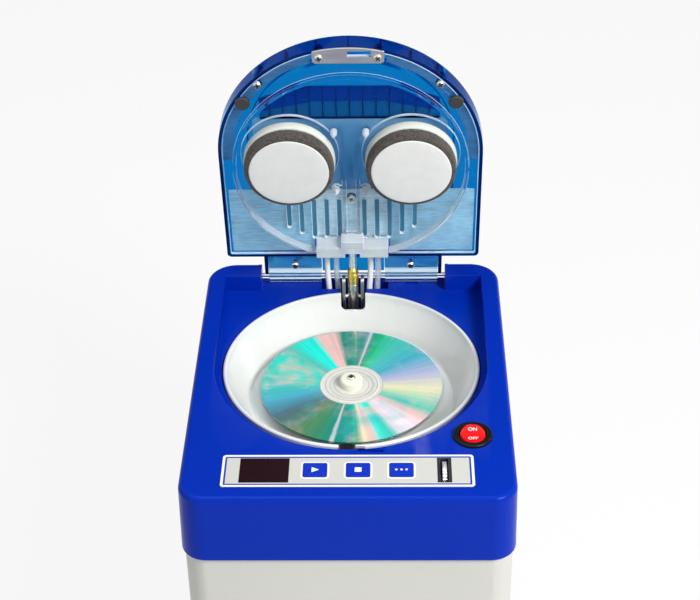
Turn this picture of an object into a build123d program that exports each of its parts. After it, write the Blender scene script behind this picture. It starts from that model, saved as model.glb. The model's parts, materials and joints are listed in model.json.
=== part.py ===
from build123d import *
import math
import os

# Disc repair machine, lid open, with a disc on its turntable.
# Modelled about the turntable axis: x to the right, y to the back, z up, with
# z = 0 at the disc's top face. Sizes are millimetres. At the end everything is
# moved so that the origin is the middle of the footprint, on the floor.

os.makedirs("parts", exist_ok=True)

# ---- Driving dimensions: housing ----
HOUSING_WIDTH = 197.2
HOUSING_FRONT = 142.0          # turntable axis to the front face
HOUSING_BACK = 102.0           # turntable axis to the back face
TOP_Z = 27.0                   # top face above the disc
TOTAL_HEIGHT = 262.0           # top face above the floor
FRONT_CORNER = 15.0
BACK_CORNER = 19.0
COVER_HEIGHT = 47.1
COVER_DRAFT = 0.8              # per side, over the cover's height
COVER_WALL = 2.5
TOP_EDGE_ROUND = 3.2
CASING_INSET = 1.1             # casing face inside the cover's top outline
CASING_WALL = 2.5
LIP_HEIGHT = 8.0
LIP_GAP = 0.3
FOOT_HEIGHT = 5.5
FOOT_RADIUS = 9.0
BASE_THICKNESS = 2.0

# ---- Driving dimensions: recess, bowl and turntable ----
RECESS_RADIUS = 86.8
RECESS_CENTRE_Y = -10.8
RECESS_FLOOR_Z = 14.5
RECESS_WALL = 2.2
EAR_FRONT_Y = 85.8
EAR_INNER_X = 62.8
BOWL_RIM_RADIUS = 82.5
BOWL_RIM_Z = 16.25
BOWL_SEAT_Z = 11.0
BOWL_SEAT_WIDTH = 1.3
BOWL_GAP = 1.0
BOWL_WALL = 2.0
BOWL_FLOOR_Z = -9.5
BOWL_FLOOR_RADIUS = 66.0
BOWL_FLOOR_WALL = 2.5
NOTCH_HALF_WIDTH = 8.2
NOTCH_Z = 5.0
COLLAR_RADIUS = 8.5
COLLAR_BORE = 6.0
COLLAR_Z = -6.0
DRAIN_X = -35.0
DRAIN_Y = 35.0
DISC_RADIUS = 60.0
DISC_BORE = 7.5
DISC_THICKNESS = 1.2
HUB_CAP_RADIUS = 7.45
HUB_CAP_HEIGHT = 5.5           # above the disc
TURNTABLE_RADIUS = 17.5
SHAFT_RADIUS = 3.0
RUNNING = 0.05                 # radial clearance of shafts in their bores

# ---- Driving dimensions: lid ----
HINGE_Y = 97.5
HINGE_Z = 20.2
OPEN_ANGLE = 80.35             # from closed to the open pose shown here
PIN_RADIUS = 1.5
PIN_HALF_LENGTH = 69.0
KNUCKLE_RADIUS = 4.7
KNUCKLE_INNER_X = 21.8
KNUCKLE_OUTER_X = 57.7
LEAF_THICKNESS = 3.0
LID_HALF_WIDTH = 85.3
LID_BOTTOM_V = 18.5            # hinge axis to the lid's straight edge
LID_ARC_V = 108.3              # hinge axis to the centre of its round end
LID_CORNER = 3.0
LID_EDGE_W = 1.5               # front edge of the shell, towards the pads
LID_DEPTH = 14.0               # back of the shell behind the hinge axis
LID_WALL = 2.2
LID_BACK_ROUND = 6.0
DOME_INSET = 18.0
DOME_DEPTH = 19.4
PLATE_THICKNESS = 2.5
PLATE_GAP = 0.3
SPLASH_RADIUS = 76.4
SPLASH_WALL = 2.0
SPLASH_W = 6.0
HEAD_X = 39.0
HEAD_V = 108.3
HEAD_OPENING = 31.5
HUB_RADIUS = 29.5
FOAM_RADIUS = 28.7
PAD_RADIUS = 25.6
HUB_W = 3.5
FOAM_W = 10.5
PAD_W = 18.9
PAD_THICKNESS = 1.0
HEAD_SHAFT_RADIUS = 1.5
MOTOR_RADIUS = 12.0
MOTOR_BACK_W = -15.7
CARRIER_THICKNESS = 2.2
MANIFOLD_HALF_WIDTH = 24.0
MANIFOLD_TOP_V = 34.5
MANIFOLD_STEP_V = 25.0         # thick part starts here, inside the bowl's rim
MANIFOLD_LIP_V = 20.0
MANIFOLD_FRONT_W = 11.0
MANIFOLD_BACK_W = -3.5
LATCH_PLATE_V = 181.5
LATCH_PLATE_HALF = 22.2
LATCH_PLATE_THICKNESS = 1.2
LATCH_SLOT_U = (-0.5, 14.1)
LATCH_SLOT_V = (186.2, 190.7)
BUMPER_RADIUS = 4.8
BUMPER_HEIGHT = 2.0

# ---- Driving dimensions: gas strut ----
PIVOT_BEHIND = 9.5             # trunnion in front of the hinge axis
PIVOT_BELOW = 11.2             # trunnion below the hinge axis
STRUT_LID_V = 33.0             # rod end on the lid
STRUT_LID_W = 4.0
CYLINDER_RADIUS = 3.75
CYLINDER_BORE = 2.95
ROD_RADIUS = 2.6
GLAND_RADIUS = 3.83
GLAND_START = 11.2             # along the strut, from the trunnion
GLAND_END = 22.6
CYLINDER_TAIL = 10.5
ARM_GAP = 10.4
ARM_THICKNESS = 2.2
TRUNNION_RADIUS = 1.5

# ---- Driving dimensions: controls ----
LABEL_WIDTH = 147.7
LABEL_FRONT_Y = -131.5
LABEL_BACK_Y = -103.15
LABEL_THICKNESS = 0.4
KEY_WIDTH = 14.1
KEY_LENGTH = 12.4
KEY_GAP = 0.3
KEY_TOP_Z = 27.9
KEY_TRAVEL = 0.5
KEY_XS = (-19.1, 6.1, 31.4)
CONTROL_Y = -117.0
WINDOW_X = (-63.3, -34.4)
WINDOW_Y = (-127.8, -106.1)
DIAL_X = 56.5
DIAL_RADIUS = 11.0
DIAL_THICKNESS = 2.5
DIAL_PROUD = 3.0
DIAL_SLOT_WIDTH = 8.2
DIAL_END_GAP = 0.55
BEZEL_WALL = 0.95
BEZEL_DEPTH = 1.8
SWITCH_X = 74.3
SWITCH_Y = -85.4
BEZEL_RADIUS = 11.9
BEZEL_Z = 29.0
ROCKER_RADIUS = 7.5
ROCKER_TILT = 7.0
ROCKER_PIVOT_Z = 24.5
LATCH_X = 7.0
LATCH_Y = -91.6
LATCH_PIVOT_Z = -2.0
LATCH_PULL_Z = -14.0
LATCH_HALF_WIDTH = 3.0

# ---- Driving dimensions: screws, posts and feet ----
SCREW_HEAD = 2.6
SCREW_SHANK = 1.4
SCREW_HOLE = 1.5
FRONT_SCREW_IN = (12.1, 13.5)  # from the side face, and from the front face
BACK_SCREW_IN = (12.4, 12.3)
BASE_SCREW_STEP = 3.0          # base screws stand this much nearer the middle
LUG_BELOW_COVER = 5.9
LUG_THICKNESS = 5.0
FOOT_IN = 26.6
FOOT_FROM_FRONT = 27.0
FOOT_FROM_BACK = 24.0
STRUT_POST_X = 27.0
STRUT_POST_Y = 96.0
STRUT_FOOT_Z = -8.5
SENSOR_X = (-6.1, 3.6)
SENSOR_Y = (-86.5, -79.8)
SENSOR_GAP = 0.3

# ---- Driving dimensions: tubes over the hinge, in the lid's u, v, w ----
SLEEVE_US = (-17.5, 12.1)
SLEEVE_LOW_XS = (-16.3, 10.9)
SLEEVE_RADIUS = 1.9
HOSE_US = (-11.3, 17.1)
HOSE_LOW_XS = (-9.9, 16.3)
CLEAR_HOSE_RADIUS = 2.0
TUBE_W = 1.0
TUBE_Y = 91.0
TUBE_START_Z = -12.0
WIRE_W = -3.2
WIRE_TOP_V = 77.0
NOZZLE_PLACES = ((10.2, 129.2), (9.6, 81.3))

# ---- Driving dimensions: water and power in the casing ----
BOARD_Z = 17.0
BOARD_THICKNESS = 1.6
BOARD_POSTS = [(x, y) for x in (-69.0, 47.0) for y in (-130.0, -104.5)]
MOTOR_BELOW_BOWL = 11.5
TEE_Z = -20.0
TEE_LOW_Z = -28.0
PUMP_X = (22.0, 76.0)
PUMP_Y = (28.0, 78.0)
PUMP_HEIGHT = 55.5             # above the base plate
HOSE_RISE = (37 / 136, 69 / 136, 104 / 136, 119 / 136)
PORT_X = 49.0
PORT_Y = 53.0
PORT_HEIGHT = 14.0
TANK_X = (-80.0, -8.0)
TANK_Y = (-14.0, 82.0)
TANK_TOP_Z = -122.0
TANK_WALL = 2.0
CAP_X = -48.0
CAP_Y = 40.0
INLET_X = 60.0
INLET_HEIGHT = 28.0
AIR_SLOT_X = (-65.0, -5.0)
AIR_SLOT_START = 60.0          # above the casing's bottom edge
AIR_SLOT_PITCH = 9.0
AIR_SLOT_WIDTH = 3.5
AIR_SLOT_ROWS = 8

# ---- Values worked out from these ----
COVER_BOTTOM_Z = TOP_Z - COVER_HEIGHT
FLOOR_Z = TOP_Z - TOTAL_HEIGHT
CASING_BOTTOM_Z = FLOOR_Z + FOOT_HEIGHT
BASE_TOP_Z = CASING_BOTTOM_Z + BASE_THICKNESS
UNDER_TOP_Z = TOP_Z - COVER_WALL
PAN_BOTTOM_Z = RECESS_FLOOR_Z - RECESS_WALL
WELL_RADIUS = BOWL_RIM_RADIUS + BOWL_GAP
PLATE_BACK_W = LID_EDGE_W - PLATE_THICKNESS
SPINDLE_V = HINGE_Y
DISC_BOTTOM_Z = -DISC_THICKNESS
PIVOT_Y = HINGE_Y - PIVOT_BEHIND
PIVOT_Z = HINGE_Z - PIVOT_BELOW
CASING_GROW = -CASING_INSET
CASING_INNER = CASING_GROW - CASING_WALL
LID_PLACE = Pos(0, HINGE_Y, HINGE_Z) * Rot(180 - OPEN_ANGLE, 0, 0)
BOSS_PLACES = [(-57.0, 164.5), (57.0, 164.5), (0.0, 70.9)]
LATCH_SCREWS = [(-18.15, 185.75), (18.15, 185.75)]
HINGE_SCREWS = [(-39.4, 10.5), (39.4, 10.5)]
NOZZLES = [(side * u, v) for u, v in NOZZLE_PLACES for side in (-1, 1)]
TONGUE_V = KNUCKLE_RADIUS + 0.5
CENTRE_GAP = KNUCKLE_INNER_X - 0.3
CORNER_LUG_Z = COVER_BOTTOM_Z - LUG_BELOW_COVER
CORNER_SCREWS = [(side * (HOUSING_WIDTH / 2 - FRONT_SCREW_IN[0]), -HOUSING_FRONT + FRONT_SCREW_IN[1])
                 for side in (-1, 1)]
CORNER_SCREWS += [(side * (HOUSING_WIDTH / 2 - BACK_SCREW_IN[0]), HOUSING_BACK - BACK_SCREW_IN[1])
                  for side in (-1, 1)]
BASE_SCREWS = [(x - math.copysign(BASE_SCREW_STEP, x), y - math.copysign(BASE_SCREW_STEP, y))
               for x, y in CORNER_SCREWS]
FOOT_PLACES = [(side * (HOUSING_WIDTH / 2 - FOOT_IN), y) for side in (-1, 1)
               for y in (-HOUSING_FRONT + FOOT_FROM_FRONT, HOUSING_BACK - FOOT_FROM_BACK)]
INLET_Z = CASING_BOTTOM_Z + INLET_HEIGHT
MOTOR_TOP_Z = BOWL_FLOOR_Z - BOWL_FLOOR_WALL - MOTOR_BELOW_BOWL
PUMP_TOP_Z = BASE_TOP_Z + PUMP_HEIGHT
PORT_Z = BASE_TOP_Z + PORT_HEIGHT
TEE_X = (HOSE_LOW_XS[0] + HOSE_LOW_XS[1]) / 2
DIAL_CENTRE_Z = TOP_Z + LABEL_THICKNESS + DIAL_PROUD - DIAL_RADIUS
BEZEL_LOW_Z = TOP_Z - BEZEL_DEPTH
DIAL_CHORD = 2 * math.sqrt(DIAL_RADIUS ** 2 - (BEZEL_LOW_Z - DIAL_CENTRE_Z) ** 2)
DIAL_SLOT_LENGTH = round(DIAL_CHORD, 1) + 2 * (DIAL_END_GAP + BEZEL_WALL)


# ---- Small shapes ----
def block(x0, x1, y0, y1, z0, z1):
    """Box between two opposite corners."""
    return Pos((x0 + x1) / 2, (y0 + y1) / 2, (z0 + z1) / 2) * Box(x1 - x0, y1 - y0, z1 - z0)


def post(radius, z0, z1, x=0, y=0):
    """Upright cylinder from z0 to z1."""
    return Pos(x, y, (z0 + z1) / 2) * Cylinder(radius, z1 - z0)


def ring(outer, inner, z0, z1, x=0, y=0):
    """Upright tube from z0 to z1."""
    return post(outer, z0, z1, x, y) - post(inner, z0 - 1, z1 + 1, x, y)


def cross_rod(radius, x0, x1, y, z):
    """Round bar along X."""
    return Pos((x0 + x1) / 2, y, z) * Rot(0, 90, 0) * Cylinder(radius, x1 - x0)


def long_rod(radius, y0, y1, x, z):
    """Round bar along Y."""
    return Pos(x, (y0 + y1) / 2, z) * Rot(90, 0, 0) * Cylinder(radius, y1 - y0)


def prism(plan, z0, z1):
    """Plan outline raised from z0 to z1."""
    return extrude(Pos(0, 0, z0) * plan, z1 - z0)


def rod_between(radius, start, end):
    """Round bar between two points."""
    along = Vector(end) - Vector(start)
    return Plane(origin=start, z_dir=along) * Pos(0, 0, along.length / 2) * Cylinder(radius, along.length)


def screw(x, y, z, length, down=1):
    """Pan-head screw with its head's underside at z; down=-1 points it up."""
    head = post(SCREW_HEAD, min(z, z + 1.3 * down), max(z, z + 1.3 * down), x, y)
    recess = block(x - 1.6, x + 1.6, y - 0.3, y + 0.3, min(z + 0.7 * down, z + 2 * down),
                   max(z + 0.7 * down, z + 2 * down))
    shank = post(SCREW_SHANK, min(z, z - length * down), max(z, z - length * down), x, y)
    return head - recess + shank


def bend_radii(points):
    """Largest arc that the two runs beside each corner allow."""
    radii = []
    for before, corner, after in zip(points, points[1:], points[2:]):
        run_in = Vector(corner) - Vector(before)
        run_out = Vector(after) - Vector(corner)
        turn = math.radians(run_in.get_angle(run_out))
        radii.append(0.45 * min(run_in.length, run_out.length) / math.tan(turn / 2))
    return radii


def hose(points, outer, inner=0):
    """Hose along straight runs joined by arcs."""
    radii = bend_radii(points)
    print("hose radii", [round(radius, 1) for radius in radii])
    path = FilletPolyline(*points, radius=radii)
    section = Circle(outer)
    if inner:
        section -= Circle(inner)
    return sweep(Plane(origin=path @ 0, z_dir=path % 0) * section, path=path)


# ---- Outlines ----
def housing_outline(grow):
    """Plan of the housing at its top edge, grown by a distance."""
    front = -HOUSING_FRONT - grow
    back = HOUSING_BACK + grow
    plan = Pos(0, (front + back) / 2) * Rectangle(HOUSING_WIDTH + 2 * grow, back - front)
    plan = fillet(plan.vertices().group_by(Axis.Y)[0], FRONT_CORNER + grow)
    return fillet(plan.vertices().group_by(Axis.Y)[-1], BACK_CORNER + grow)


def recess_outline(grow):
    """Plan of the lid's recess: round in front, open at the back between the ears."""
    radius = RECESS_RADIUS + grow
    back = EAR_FRONT_Y + grow
    gap_back = HOUSING_BACK + 20
    plan = Pos(0, RECESS_CENTRE_Y) * Circle(radius)
    plan += Pos(0, (RECESS_CENTRE_Y + back) / 2) * Rectangle(2 * radius, back - RECESS_CENTRE_Y)
    gap = Rectangle(2 * (EAR_INNER_X + grow), gap_back - RECESS_CENTRE_Y)
    return plan + Pos(0, (RECESS_CENTRE_Y + gap_back) / 2) * gap


def lid_outline(inset, corner=LID_CORNER):
    """Outline of the lid in its own u, v plane, drawn in by a distance."""
    radius = LID_HALF_WIDTH - inset
    bottom = LID_BOTTOM_V + inset
    plan = Pos(0, LID_ARC_V) * Circle(radius)
    plan += Pos(0, (LID_ARC_V + bottom) / 2) * Rectangle(2 * radius, LID_ARC_V - bottom)
    return fillet(plan.vertices().group_by(Axis.Y)[0], corner)


def control_openings(window_gap):
    """Blocks that cut the openings of the keys, the window and the dial."""
    low, high = UNDER_TOP_Z - 1, TOP_Z + 5
    half_x, half_y = KEY_WIDTH / 2 + KEY_GAP, KEY_LENGTH / 2 + KEY_GAP
    cuts = [block(x - half_x, x + half_x, CONTROL_Y - half_y, CONTROL_Y + half_y, low, high) for x in KEY_XS]
    cuts.append(block(WINDOW_X[0] - window_gap, WINDOW_X[1] + window_gap,
                      WINDOW_Y[0] - window_gap, WINDOW_Y[1] + window_gap, low, high))
    half_x, half_y = DIAL_SLOT_WIDTH / 2 + 0.1, DIAL_SLOT_LENGTH / 2 + 0.1
    cuts.append(block(DIAL_X - half_x, DIAL_X + half_x, CONTROL_Y - half_y, CONTROL_Y + half_y, low, high))
    return cuts


# ---- Housing ----
def top_cover():
    """Blue cover: skirt, top face and the pan that takes the closed lid."""
    draft = math.degrees(math.atan(COVER_DRAFT / COVER_HEIGHT))
    low = Pos(0, 0, COVER_BOTTOM_Z)
    outside = extrude(low * housing_outline(COVER_DRAFT), COVER_HEIGHT, taper=draft)
    body = fillet(outside.edges().group_by(Axis.Z)[-1], TOP_EDGE_ROUND)
    inside = low * housing_outline(COVER_DRAFT - COVER_WALL)
    body -= extrude(inside, COVER_HEIGHT - COVER_WALL, taper=draft)
    for x, y in CORNER_SCREWS:
        body += post(4.5, CORNER_LUG_Z, UNDER_TOP_Z + 0.5, x, y)
    for x, y in BOARD_POSTS:
        body += post(2.5, BOARD_Z + BOARD_THICKNESS, UNDER_TOP_Z + 0.5, x, y)
    body += prism(recess_outline(RECESS_WALL), PAN_BOTTOM_Z, TOP_Z - 1) & outside
    body -= prism(recess_outline(0), RECESS_FLOOR_Z, TOP_Z + 5)
    # stepped well that carries the bowl's rim
    body += post(WELL_RADIUS + RECESS_WALL, BOWL_SEAT_Z - RECESS_WALL, RECESS_FLOOR_Z)
    body -= post(WELL_RADIUS, BOWL_SEAT_Z, TOP_Z)
    body -= post(BOWL_RIM_RADIUS - BOWL_SEAT_WIDTH, BOWL_SEAT_Z - 10, TOP_Z)
    # posts for the strut's bracket, and bosses for the hinge pin
    for side in (-1, 1):
        body += post(2.8, STRUT_FOOT_Z, PAN_BOTTOM_Z + 0.5, side * STRUT_POST_X, STRUT_POST_Y)
        body -= post(SCREW_HOLE, STRUT_FOOT_Z - 1, STRUT_FOOT_Z + 8, side * STRUT_POST_X, STRUT_POST_Y)
        inner = side * (EAR_INNER_X + 0.5)
        outer = side * (EAR_INNER_X + 8)
        body += cross_rod(4.0, min(inner, outer), max(inner, outer), HINGE_Y, HINGE_Z) & outside
    pin_end = PIN_HALF_LENGTH + 0.3
    body -= cross_rod(PIN_RADIUS + RUNNING, -pin_end, pin_end, HINGE_Y, HINGE_Z)
    # opening for the hoses and strut, cut-outs for the sensor and the lock's hook
    body -= block(-21.8, 23.9, 88.6, 100.5, -12, RECESS_FLOOR_Z + 1)
    body -= block(-8.8, 8.8, 76, 92, BOWL_SEAT_Z - 8, RECESS_FLOOR_Z + 1)
    body -= block(36.2, 43.8, 93, 97, RECESS_FLOOR_Z - 1, RECESS_FLOOR_Z + 1)
    sensor_cut = (SENSOR_X[0] - SENSOR_GAP, SENSOR_X[1] + SENSOR_GAP)
    body -= block(*sensor_cut, SENSOR_Y[0] - SENSOR_GAP, -78, 0, RECESS_FLOOR_Z + 1)
    body -= block(LATCH_X - 4, LATCH_X + 4, LATCH_Y - 2, LATCH_Y + 3.2, 0, RECESS_FLOOR_Z + 1)
    body -= block(5.9, 20.8, -99.6, -97.4, TOP_Z - 3, TOP_Z + 1)
    # openings of the controls
    body -= control_openings(0.2)
    body -= post(9.8, 20, 40, SWITCH_X, SWITCH_Y)
    for x, y in CORNER_SCREWS:
        body -= post(SCREW_HOLE, CORNER_LUG_Z - 1, CORNER_LUG_Z + 20, x, y)
    return body


def casing_corner_blocks(z0, z1, inset):
    """Solid corners of the casing between two heights."""
    corners = prism(housing_outline(CASING_GROW - 0.5), z0, z1)
    corners -= block(-HOUSING_WIDTH, HOUSING_WIDTH, -HOUSING_FRONT + inset + 8, HOUSING_BACK - inset - 5,
                     z0 - 1, z1 + 1)
    middle = HOUSING_WIDTH / 2 - inset - 5
    return corners - block(-middle, middle, -200, 200, z0 - 1, z1 + 1)


def lower_casing():
    """Pale grey casing: four walls, screw corners and the lip inside the cover."""
    body = prism(housing_outline(CASING_GROW), CASING_BOTTOM_Z, COVER_BOTTOM_Z)
    lip = COVER_DRAFT - COVER_WALL - LIP_GAP - 0.15
    body += prism(housing_outline(lip), COVER_BOTTOM_Z - 1, COVER_BOTTOM_Z + LIP_HEIGHT)
    body -= prism(housing_outline(CASING_INNER), CASING_BOTTOM_Z - 1, COVER_BOTTOM_Z + LIP_HEIGHT + 1)
    body += casing_corner_blocks(CORNER_LUG_Z - LUG_THICKNESS, CORNER_LUG_Z, 13)
    body += casing_corner_blocks(BASE_TOP_Z, BASE_TOP_Z + 12, 13)
    for x, y in CORNER_SCREWS:
        body -= post(SCREW_SHANK + 0.4, CORNER_LUG_Z - LUG_THICKNESS - 1, CORNER_LUG_Z + 1, x, y)
    for x, y in BASE_SCREWS:
        body -= post(SCREW_HOLE, BASE_TOP_Z - 1, BASE_TOP_Z + 10, x, y)
    # air slots and the opening of the power inlet in the back wall
    back = HOUSING_BACK + CASING_GROW
    for row in range(AIR_SLOT_ROWS):
        z = CASING_BOTTOM_Z + AIR_SLOT_START + AIR_SLOT_PITCH * row
        body -= block(*AIR_SLOT_X, back - 5, back + 2, z, z + AIR_SLOT_WIDTH)
    body -= long_rod(5.8, back - 5, back + 2, INLET_X, INLET_Z)
    return body


def base_plate():
    """Steel base, screwed into the casing's corners."""
    plate = prism(housing_outline(CASING_INNER - 0.3), CASING_BOTTOM_Z, BASE_TOP_Z)
    for x, y in BASE_SCREWS:
        plate -= post(SCREW_SHANK + 0.3, CASING_BOTTOM_Z - 1, BASE_TOP_Z + 1, x, y)
    for x, y in FOOT_PLACES:
        plate -= post(2.2, CASING_BOTTOM_Z - 1, BASE_TOP_Z + 1, x, y)
    return plate


def rubber_feet():
    """Four feet whose stems plug into the base."""
    feet = []
    for x, y in FOOT_PLACES:
        foot = post(FOOT_RADIUS, FLOOR_Z, CASING_BOTTOM_Z, x, y)
        foot = chamfer(foot.edges().group_by(Axis.Z)[0], 1.0)
        feet.append(foot + post(2.0, CASING_BOTTOM_Z - 1, BASE_TOP_Z - 0.2, x, y))
    return feet


def casing_screws():
    """Screws that join the cover, the casing and the base."""
    screws = [screw(x, y, CORNER_LUG_Z - LUG_THICKNESS, 20, -1) for x, y in CORNER_SCREWS]
    return screws + [screw(x, y, CASING_BOTTOM_Z, 9, -1) for x, y in BASE_SCREWS]


# ---- Bowl and turntable ----
def bowl():
    """White splash bowl, hung by its rim in the cover."""
    rim = BOWL_RIM_RADIUS
    seat = rim - BOWL_SEAT_WIDTH
    under = BOWL_FLOOR_Z - BOWL_FLOOR_WALL
    outer = [(0, under), (BOWL_FLOOR_RADIUS + 1, under), (BOWL_FLOOR_RADIUS + 4, BOWL_FLOOR_Z),
             (seat - 0.3, BOWL_SEAT_Z), (rim, BOWL_SEAT_Z), (rim, BOWL_RIM_Z - 0.8), (rim - 0.8, BOWL_RIM_Z),
             (rim - 2.0, BOWL_RIM_Z), (rim - 2.5, BOWL_RIM_Z - 0.5)]
    inner = [(seat - 0.3 - BOWL_WALL, BOWL_SEAT_Z), (BOWL_FLOOR_RADIUS + 2, BOWL_FLOOR_Z + 1.6),
             (BOWL_FLOOR_RADIUS, BOWL_FLOOR_Z), (0, BOWL_FLOOR_Z)]
    body = revolve(Plane.XZ * make_face(Polyline(*outer, *inner, close=True)), Axis.Z)
    body += post(COLLAR_RADIUS, BOWL_FLOOR_Z - 1, COLLAR_Z)
    body += post(6.0, BOWL_FLOOR_Z - 15, BOWL_FLOOR_Z - 1, DRAIN_X, DRAIN_Y)
    body -= post(COLLAR_BORE, BOWL_FLOOR_Z - 5, COLLAR_Z + 1)
    body -= post(4.0, BOWL_FLOOR_Z - 16, BOWL_FLOOR_Z + 1, DRAIN_X, DRAIN_Y)
    # notch for the strut at the back, cut for the sensor in front
    notch = Pos(0, (NOTCH_Z + 30) / 2) * Rectangle(2 * NOTCH_HALF_WIDTH, 30 - NOTCH_Z)
    notch = fillet(notch.vertices().group_by(Axis.Y)[0], 3.5)
    body -= extrude(Plane.XZ.offset(-60) * notch, -40)
    sensor_cut = (SENSOR_X[0] - SENSOR_GAP, SENSOR_X[1] + SENSOR_GAP)
    body -= block(*sensor_cut, -90, SENSOR_Y[1] + 1.5, BOWL_SEAT_Z - 1, 30)
    return body


def shaft_seal():
    """Rubber lip seal between the bowl's collar and the turntable shaft."""
    seal = ring(COLLAR_BORE - 0.02, SHAFT_RADIUS + 0.1, BOWL_FLOOR_Z - 1.5, COLLAR_Z - 1)
    return seal + ring(COLLAR_BORE - 0.02, SHAFT_RADIUS + 1, BOWL_FLOOR_Z - 3, BOWL_FLOOR_Z - 1.4)


def spindle_shaft():
    """Turntable shaft and the screw that holds the hub cap down."""
    top = DISC_BOTTOM_Z - 0.6
    shaft = post(SHAFT_RADIUS, MOTOR_TOP_Z - 22, top) - post(SCREW_HOLE, top - 8, top + 1)
    return [shaft, screw(0, 0, HUB_CAP_HEIGHT, HUB_CAP_HEIGHT - top + 7)]


def turntable_hub():
    """Flange that carries the disc, with a skirt over the bowl's collar."""
    body = post(TURNTABLE_RADIUS, DISC_BOTTOM_Z - 2.8, DISC_BOTTOM_Z)
    body += ring(COLLAR_RADIUS + 3.5, COLLAR_RADIUS + 1.5, COLLAR_Z - 1.5, DISC_BOTTOM_Z - 2.7)
    body += post(5.0, COLLAR_Z + 0.8, DISC_BOTTOM_Z - 2.7)
    return body - post(SHAFT_RADIUS + 0.02, COLLAR_Z, DISC_BOTTOM_Z + 1)


def hub_cap():
    """Cap that passes through the disc's hole."""
    body = post(HUB_CAP_RADIUS, DISC_BOTTOM_Z, HUB_CAP_HEIGHT)
    body = fillet(body.edges().group_by(Axis.Z)[-1], 1.4)
    return body - post(SCREW_HOLE, DISC_BOTTOM_Z - 1, HUB_CAP_HEIGHT + 1)


def disc():
    """Standard 120 mm disc."""
    body = ring(DISC_RADIUS, DISC_BORE, DISC_BOTTOM_Z, 0)
    return body + ring(17.4, 16.6, DISC_BOTTOM_Z + 0.3, 0.15)


def turntable_motor():
    """Geared motor under the bowl."""
    body = post(18.0, MOTOR_TOP_Z - 40, MOTOR_TOP_Z) + post(5.0, MOTOR_TOP_Z - 1, MOTOR_TOP_Z + 2)
    return body - post(SHAFT_RADIUS + RUNNING, MOTOR_TOP_Z - 24, MOTOR_TOP_Z + 3)


def motor_mount():
    """Plate that holds the motor under the bowl on three posts."""
    body = post(32.0, MOTOR_TOP_Z, MOTOR_TOP_Z + 2) - post(5.1, MOTOR_TOP_Z - 1, MOTOR_TOP_Z + 3)
    for index in range(3):
        angle = math.radians(30 + 120 * index)
        x, y = 26 * math.cos(angle), 26 * math.sin(angle)
        body += post(3.5, MOTOR_TOP_Z + 1, BOWL_FLOOR_Z - BOWL_FLOOR_WALL, x, y)
    return body


def lid_sensor():
    """Black switch block at the bowl's front edge that feels the closed lid."""
    stem = block(SENSOR_X[0], SENSOR_X[1], SENSOR_Y[0], SENSOR_Y[1] - 1.9, 0, 12)
    head = block(SENSOR_X[0], SENSOR_X[1], SENSOR_Y[0], SENSOR_Y[1], 12, 16.9)
    head = fillet(head.edges().filter_by(Axis.Y).group_by(Axis.Z)[-1], 2.0)
    return stem + head


# ---- Controls ----
def control_label():
    """Panel sheet on the top face, cut out for the controls."""
    width = LABEL_BACK_Y - LABEL_FRONT_Y
    sheet = Pos(0, (LABEL_BACK_Y + LABEL_FRONT_Y) / 2) * RectangleRounded(LABEL_WIDTH, width, 2.0)
    body = prism(sheet, TOP_Z, TOP_Z + LABEL_THICKNESS)
    return body - control_openings(0.1)


def display_window():
    """Dark window over the display."""
    return block(*WINDOW_X, *WINDOW_Y, TOP_Z - 1.6, TOP_Z + LABEL_THICKNESS)


def control_board():
    """Circuit board with the display and the three switches under the keys."""
    top = BOARD_Z + BOARD_THICKNESS
    board = block(-73, 51, -133, -101.5, BOARD_Z, top)
    display = block(WINDOW_X[0] + 2, WINDOW_X[1] - 2, WINDOW_Y[0] + 2, WINDOW_Y[1] - 2, top, TOP_Z - 2)
    solids = [board, display]
    for x in KEY_XS:
        switch = block(x - 3, x + 3, CONTROL_Y - 3, CONTROL_Y + 3, top, top + 3)
        solids.append(switch + post(1.6, top + 2, top + 3.6, x, CONTROL_Y))
    return solids


def key(x):
    """Key cap with a flange that keeps it under the top face."""
    cap = Pos(x, CONTROL_Y) * RectangleRounded(KEY_WIDTH, KEY_LENGTH, 1.0)
    body = prism(cap, UNDER_TOP_Z - 1.3, KEY_TOP_Z)
    body = fillet(body.edges().group_by(Axis.Z)[-1], 0.25)
    flange = Pos(x, CONTROL_Y) * Rectangle(KEY_WIDTH + 2.4, KEY_LENGTH + 2.4)
    return body + prism(flange, UNDER_TOP_Z - 1.3, UNDER_TOP_Z - 0.3)


def dial_wheel():
    """Edge wheel that stands out of the panel, with its axle."""
    half = DIAL_THICKNESS / 2
    body = cross_rod(DIAL_RADIUS, DIAL_X - half, DIAL_X + half, CONTROL_Y, DIAL_CENTRE_Z)
    for index in range(36):
        angle = 2 * math.pi * index / 36
        y = CONTROL_Y + DIAL_RADIUS * math.cos(angle)
        z = DIAL_CENTRE_Z + DIAL_RADIUS * math.sin(angle)
        body -= cross_rod(0.35, DIAL_X - half - 1, DIAL_X + half + 1, y, z)
    return body + cross_rod(SCREW_SHANK, DIAL_X + half - 1, DIAL_X + 8, CONTROL_Y, DIAL_CENTRE_Z)


def dial_pot():
    """Potentiometer that the dial turns."""
    left = DIAL_X + 3.4
    behind = CONTROL_Y + DIAL_RADIUS + 0.6
    low = min(BOARD_Z, DIAL_CENTRE_Z) - 6
    body = block(left, left + 6, CONTROL_Y - 6, CONTROL_Y + 6, low, DIAL_CENTRE_Z + 5)
    body += block(48.0, left + 6, behind, behind + 3.4, BOARD_Z - 3, BOARD_Z)
    body += block(left, left + 6, CONTROL_Y + 5, behind + 3.4, BOARD_Z - 3, BOARD_Z)
    return body - cross_rod(SCREW_SHANK + RUNNING, left - 1, DIAL_X + 8.3, CONTROL_Y, DIAL_CENTRE_Z)


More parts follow.
